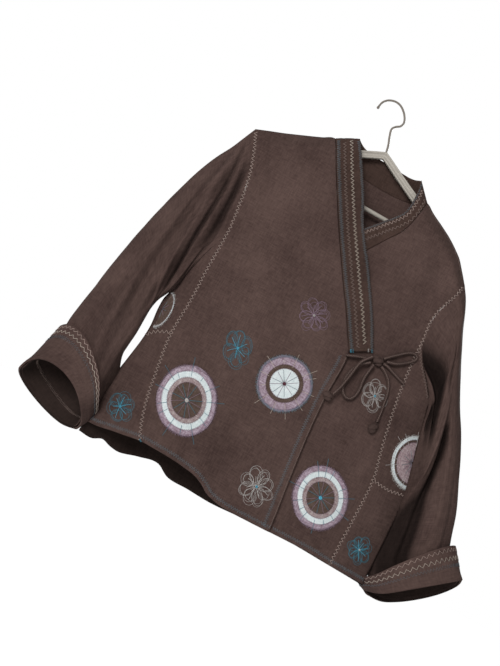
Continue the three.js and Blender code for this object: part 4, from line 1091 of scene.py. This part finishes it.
# ---------------------------------------------------------------- ties
# Each tie: the points (x, z) it runs through and how far its middle stands off the cloth.
TIES = {
    "tie_band_run": [(125, -437, 3.4), (134, -433.5, 3.6), (143, -430, 3.8), (154, -426, 5),
                     (164.5, -422.5, 7)],
    "tie_side_run": [(233, -431, 3.6), (221, -428, 3.8), (208, -424, 4.6), (196, -420, 6), (187, -419, 6.5)],
    "tie_loop_right": [(183, -412, 9.5), (199, -397, 8), (218, -381, 5), (230, -379, 3.6),
                       (233, -386, 3.6), (222, -398, 5), (206, -409, 8), (190.5, -414, 10)],
    "tie_loop_left": [(166, -428.5, 10.5), (152, -440, 7), (143, -458, 4), (142, -480, 3.4),
                      (152, -497, 3.4), (165, -497, 4), (171, -482, 5), (169, -455, 8), (172.5, -429, 9.5)],
    "tie_tail_left": [(164, -419, 15), (151, -437, 14), (146, -463, 10), (141, -488, 9), (135, -505, 6.5)],
    "tie_tail_right": [(186, -425, 7.5), (197, -431, 6), (209, -442, 4.5), (216, -458, 3.6),
                       (219.5, -478, 3.4), (222, -498, 3.6), (222.5, -510, 5)]}
KNOTS = named("name x z off across up deep tilt wraps", [
    ("tie_knot", 175.5, -419.5, 8.8, 11.4, 8, 8.4, 12, 3),
    ("tail_knot_left", 129, -511.5, 7, 10, 7.4, 6.2, 20, 2),
    ("tail_knot_right", 221.5, -521, 6.5, 8, 10.4, 5.8, 18, 2)])


def smooth_run(points, each=10):
    """A smooth line through points in space."""
    points = np.asarray(points, float)
    ends = np.concatenate([[2 * points[0] - points[1]], points, [2 * points[-1] - points[-2]]])
    t = np.linspace(0, 1, each, endpoint=False)[:, None]
    parts = []
    for a, b, c, d in zip(ends, ends[1:], ends[2:], ends[3:]):
        parts.append(0.5 * (2 * b + (c - a) * t + (2 * a - 5 * b + 4 * c - d) * t ** 2
                            + (3 * b - a - 3 * c + d) * t ** 3))
    return np.concatenate(parts + [points[-1:]])


def in_space(points):
    points = np.asarray(points, float)
    return np.stack([points[:, 0], tie_base(points[:, 0], points[:, 1], points[:, 2]), points[:, 1]], -1)


class JACKET_OT_ties(bpy.types.Operator):
    """Builds the rolled ties, the bow's knot and the knots at the tails' ends."""
    bl_idname = "jacket.ties"
    bl_label = "Ties"

    def execute(self, context):
        diameter = context.scene.jacket_tie.diameter
        radius = diameter / MM / 2
        random = np.random.RandomState(3)
        for name, points in TIES.items():
            path = smooth_run(in_space(points))
            curve = bpy.data.curves.new(name + "_roll", "CURVE")
            curve.dimensions = "3D"
            curve.bevel_depth = diameter / 2
            curve.bevel_resolution = 5
            curve.use_fill_caps = True
            curve.materials.append(cloth("tie"))
            spline = curve.splines.new("POLY")
            spline.points.add(len(path) - 1)
            for point, place in zip(spline.points, path * MM):
                point.co = (*place, 1.0)
                point.radius = 1.0
            spline.use_smooth = True
            obj = bpy.data.objects.new(name + "_roll", curve)
            context.scene.collection.objects.link(obj)
            settle(obj, "tie_cloth", name)
            self.sew(name, path, radius, random)
        for row in KNOTS:
            self.knot(row)
        return {"FINISHED"}

    def sew(self, name, path, radius, random):
        """The zigzag that holds the roll closed, on the side that faces out."""
        line_of = even(path, 2.0)
        out = np.array([0, -1, 0])
        ahead = np.gradient(line_of, axis=0)
        side = np.cross(ahead, out)
        side /= np.maximum(np.linalg.norm(side, axis=1, keepdims=True), 1e-9)
        swing = 0.95 * np.where(np.arange(len(line_of)) % 2, 1, -1) + random.uniform(-0.2, 0.2, len(line_of))
        rise = np.sqrt(np.maximum(radius ** 2 - swing ** 2, 0.2)) + 0.12
        stitched = line_of + side * swing[:, None] + out * rise[:, None]
        sewn("sewn_" + name, [stitched], 0.36, "dim", "tie_cloth")

    def knot(self, row):
        """A knot: a rounded lump with its turns pressed into it."""
        around = np.linspace(0, TAU, 56, endpoint=False)[None, :]
        rise = np.linspace(0.04, math.pi - 0.04, 40)[:, None]
        around, rise = np.broadcast_arrays(around, rise)
        turns = np.cos(row["wraps"] * around + 2.6 * rise)
        reach = 0.93 + 0.09 * turns - 0.10 * np.exp(-((turns + 1) / 0.35) ** 2)
        u = reach * np.sin(rise) * np.cos(around) * row["across"]
        d = reach * np.sin(rise) * np.sin(around) * row["deep"]
        w = reach * np.cos(rise) * row["up"]
        middle = tie_base(row["x"], row["z"], row["off"])
        x, z = turned(row["x"], row["z"], u, w, -row["tilt"])
        outer = np.stack([x, middle + d, z], -1)
        inner = outer * 0.4 + np.array([row["x"], float(middle), row["z"]]) * 0.6
        obj = wall(row["name"] + "_turns", outer, inner, cloth("tie"),
                   np.stack([around * 8, rise * 8], -1), tube=True)
        settle(obj, "tie_cloth", row["name"])


# ---------------------------------------------------------------- hanger
ARM = named("along drop", [
    (0, 0), (8, 3.6), (40, 19.5), (70, 34), (104, 49.5), (123, 59.5), (151, 74.5), (165, 83), (184, 99)])
HOOK_WIRE = [(25.5, -85.1), (22.5, -72), (17.5, -58), (14.5, -45), (19, -37.5), (26, -32), (28, -23),
             (22, -11), (11, -1), (-1, 2.2), (-13, -1.2), (-21, -9), (-24, -19)]
HANGER_X, HANGER_Z, HANGER_TILT = 26, -85.5, 1.4
BAR, BAR_DROP = 7.5, 104.5
ARM_REACH, ARM_HEIGHT = 184, 14
WIRE_RADIUS, BEAD_RADIUS, BEAD_X, BEAD_Z = 1.8, 2.6, -24, -21.9
# The arm's section: how far it stands from the middle and from the top edge.
ARM_SECTION = named("y z", [
    (0, -0.1), (3.2, 0), (4.3, -0.7), (4.5, -1.8), (4.4, -3.2), (2.6, -4.0), (2.5, -9.9), (4.4, -10.7),
    (4.5, -12.2), (4.2, -13.3), (3.1, -14), (0, -13.9)])


def on_hanger(points):
    """Points of the hanger's own frame, placed in the row frame."""
    x, y, z = np.moveaxis(np.asarray(points, float), -1, 0)
    x, z = turned(HANGER_X, HANGER_Z, x, z, -HANGER_TILT)
    return np.stack([x, y, z], -1)


def rod(name, rings, finish):
    """A solid between closed rings of points, one row each, with a fan of triangles at each end."""
    rows, columns = rings.shape[:2]
    number = np.arange(rows * columns).reshape(rows, columns)
    skin = tube_faces(number)
    ends = [np.stack([number[ring], np.roll(number[ring], -1), np.full(columns, hub)], -1)
            for ring, hub in ((0, rows * columns), (-1, rows * columns + 1))]
    points = np.concatenate([rings.reshape(-1, 3), rings[:1].mean(1), rings[-1:].mean(1)])
    return mesh_object(name, points, np.concatenate([skin[:, :3], *ends, skin[:, [0, 2, 3]]]), finish)


class JACKET_OT_hanger(bpy.types.Operator):
    """Builds the moulded hanger with its cross bar and wire hook."""
    bl_idname = "jacket.hanger"
    bl_label = "Hanger"

    def execute(self, context):
        plastic = material("moulded_plastic", srgb(192, 185, 174), 0.5, 0.1)
        steel = material("bent_wire", srgb(128, 118, 106), 0.5, 0.2)
        drop = line(ARM, "along", "drop")
        along = np.linspace(-ARM_REACH, ARM_REACH, 97)[:, None]
        section = ARM_SECTION + [dict(y=-row["y"], z=row["z"]) for row in reversed(ARM_SECTION[1:-1])]
        y = np.array([row["y"] for row in section])[None, :]
        z = np.array([row["z"] for row in section])[None, :]
        x = along * (1 + 0.015 * z / ARM_HEIGHT)
        soft = 1 - 0.3 * ease((np.abs(along) - 176) / 8)
        rings = on_hanger(np.stack(np.broadcast_arrays(x, y * soft, -drop(np.abs(along)) + z), -1))
        settle(rod("moulded_arms", rings, plastic), "hanger_plastic", "hanger_arms")
        turn = np.linspace(0, TAU, 24, endpoint=False)[None, :]
        half = float(line(ARM, "drop", "along")(BAR_DROP - BAR / 2 - ARM_HEIGHT)) * 0.985 - 2 * SEAM
        x = np.linspace(-half, half, 12)[:, None]
        y, z = BAR / 2 * np.cos(turn), BAR / 2 * np.sin(turn) - BAR_DROP
        ring = np.stack(np.broadcast_arrays(x, y, z), -1)
        settle(rod("moulded_bar", on_hanger(ring), plastic), "hanger_plastic", "hanger_bar")
        path = smooth_run([(x, 0, z) for x, z in HOOK_WIRE], 14)
        settle(threads("hook_bend", [path], WIRE_RADIUS, steel, 16), "hook_wire", "hook")
        rise = np.linspace(0.1, math.pi - 0.1, 16)[:, None]
        ball = np.stack(np.broadcast_arrays(
            BEAD_X + BEAD_RADIUS * np.sin(rise) * np.cos(turn), BEAD_RADIUS * np.sin(rise) * np.sin(turn),
            BEAD_Z + BEAD_RADIUS * np.cos(rise)), -1)
        settle(rod("hook_bead", ball, steel), "hook_wire", "hook_tip")
        return {"FINISHED"}


# ---------------------------------------------------------------- camera and stage
class JACKET_OT_camera(bpy.types.Operator):
    """Places the camera square to the front, a little low and rolled."""
    bl_idname = "jacket.camera"
    bl_label = "Camera"

    def execute(self, context):
        view = context.scene.jacket_camera
        ahead = Vector((0, math.cos(view.tilt), math.sin(view.tilt)))
        upright = Vector((0, -math.sin(view.tilt), math.cos(view.tilt)))
        sideways = Vector((1, 0, 0))
        right = sideways * math.cos(view.roll) + upright * math.sin(view.roll)
        up = upright * math.cos(view.roll) - sideways * math.sin(view.roll)
        place = Vector((view.aim_x, 0, view.aim_z)) - ahead * view.distance
        data = bpy.data.cameras.new("camera")
        data.lens = view.lens
        data.sensor_width = 36
        data.clip_start, data.clip_end = 0.05, 60
        data.dof.use_dof = False
        obj = bpy.data.objects.new("camera", data)
        obj.matrix_world = Matrix((
            (right.x, up.x, -ahead.x, place.x), (right.y, up.y, -ahead.y, place.y),
            (right.z, up.z, -ahead.z, place.z), (0, 0, 0, 1)))
        context.scene.collection.objects.link(obj)
        context.scene.camera = obj
        return {"FINISHED"}


LIGHT_SIZE, LIGHT_AIM = 2.0, (0.05, 0, -0.45)
FLOOR_SIDE = 30000    # half the floor's side, in millimetres


class JACKET_OT_stage(bpy.types.Operator):
    """Lays a plain pale floor and lights it softly."""
    bl_idname = "jacket.stage"
    bl_label = "Stage"

    def execute(self, context):
        stage = context.scene.jacket_stage
        scene = context.scene
        world = bpy.data.worlds.new("white_room")
        scene.world = world
        world.use_nodes = True
        sky = world.node_tree.nodes["Background"]
        sky.inputs["Color"].default_value = (1, 1, 1, 1)
        sky.inputs["Strength"].default_value = stage.ambient
        for name, place, power in (("soft_key", (-1.9, -5.0, 0.9), stage.key),
                                   ("soft_fill", (1.6, 5.0, 1.2), stage.fill)):
            light = bpy.data.lights.new(name, "AREA")
            light.energy = power
            light.size = LIGHT_SIZE
            lamp = bpy.data.objects.new(name, light)
            lamp.location = place
            aim = Vector(LIGHT_AIM) - lamp.location
            lamp.rotation_euler = aim.to_track_quat("-Z", "Y").to_euler()
            scene.collection.objects.link(lamp)
        side = FLOOR_SIDE
        low = stage.floor / MM
        corners = [(-side, -side, low), (side, -side, low), (side, side, low), (-side, side, low)]
        floor = mesh_object("floor", corners, [(0, 1, 2, 3)],
                            material("floor", (1, 1, 1, 1), 1.0, 0.0))
        scene.view_settings.view_transform = "Standard"
        scene.view_settings.look = "None"
        scene.render.film_transparent = False
        return {"FINISHED"}


# ---------------------------------------------------------------- panel and registration
class JACKET_PT_sidebar(bpy.types.Panel):
    """The jacket's settings and builders."""
    bl_label = "Kimono jacket"
    bl_idname = "JACKET_PT_sidebar"
    bl_space_type = "VIEW_3D"
    bl_region_type = "UI"
    bl_category = "Jacket"

    def draw(self, context):
        layout = self.layout
        for group, names in GROUPS:
            box = layout.box()
            settings = getattr(context.scene, group)
            for name in settings.__annotations__:
                box.prop(settings, name)
            for name in names:
                box.operator("jacket." + name)


GROUPS = [("jacket_camera", ("camera",)), ("jacket_tie", ("ties",)),
          ("jacket_cloth", ("body", "bands", "sleeves", "rings")),
          ("jacket_stitch", ("flowers", "stitching")), ("jacket_stage", ("hanger", "stage"))]
SETTINGS = {"jacket_camera": JacketCamera, "jacket_tie": JacketTie, "jacket_cloth": JacketCloth,
            "jacket_stitch": JacketStitch, "jacket_stage": JacketStage}
CLASSES = (JACKET_OT_camera, JACKET_OT_ties, JACKET_OT_body, JACKET_OT_bands, JACKET_OT_sleeves,
           JACKET_OT_rings, JACKET_OT_flowers, JACKET_OT_stitching, JACKET_OT_hanger, JACKET_OT_stage,
           JACKET_PT_sidebar)


def register():
    for group in (*SETTINGS.values(), *CLASSES):
        bpy.utils.register_class(group)
    for name, group in SETTINGS.items():
        setattr(bpy.types.Scene, name, bpy.props.PointerProperty(type=group))


def unregister():
    for name in SETTINGS:
        delattr(bpy.types.Scene, name)
    for group in reversed((*SETTINGS.values(), *CLASSES)):
        bpy.utils.unregister_class(group)


def main():
    register()
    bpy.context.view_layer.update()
    for _, names in GROUPS:
        for name in names:
            getattr(bpy.ops.jacket, name)()


if __name__ == "__main__":
    main()
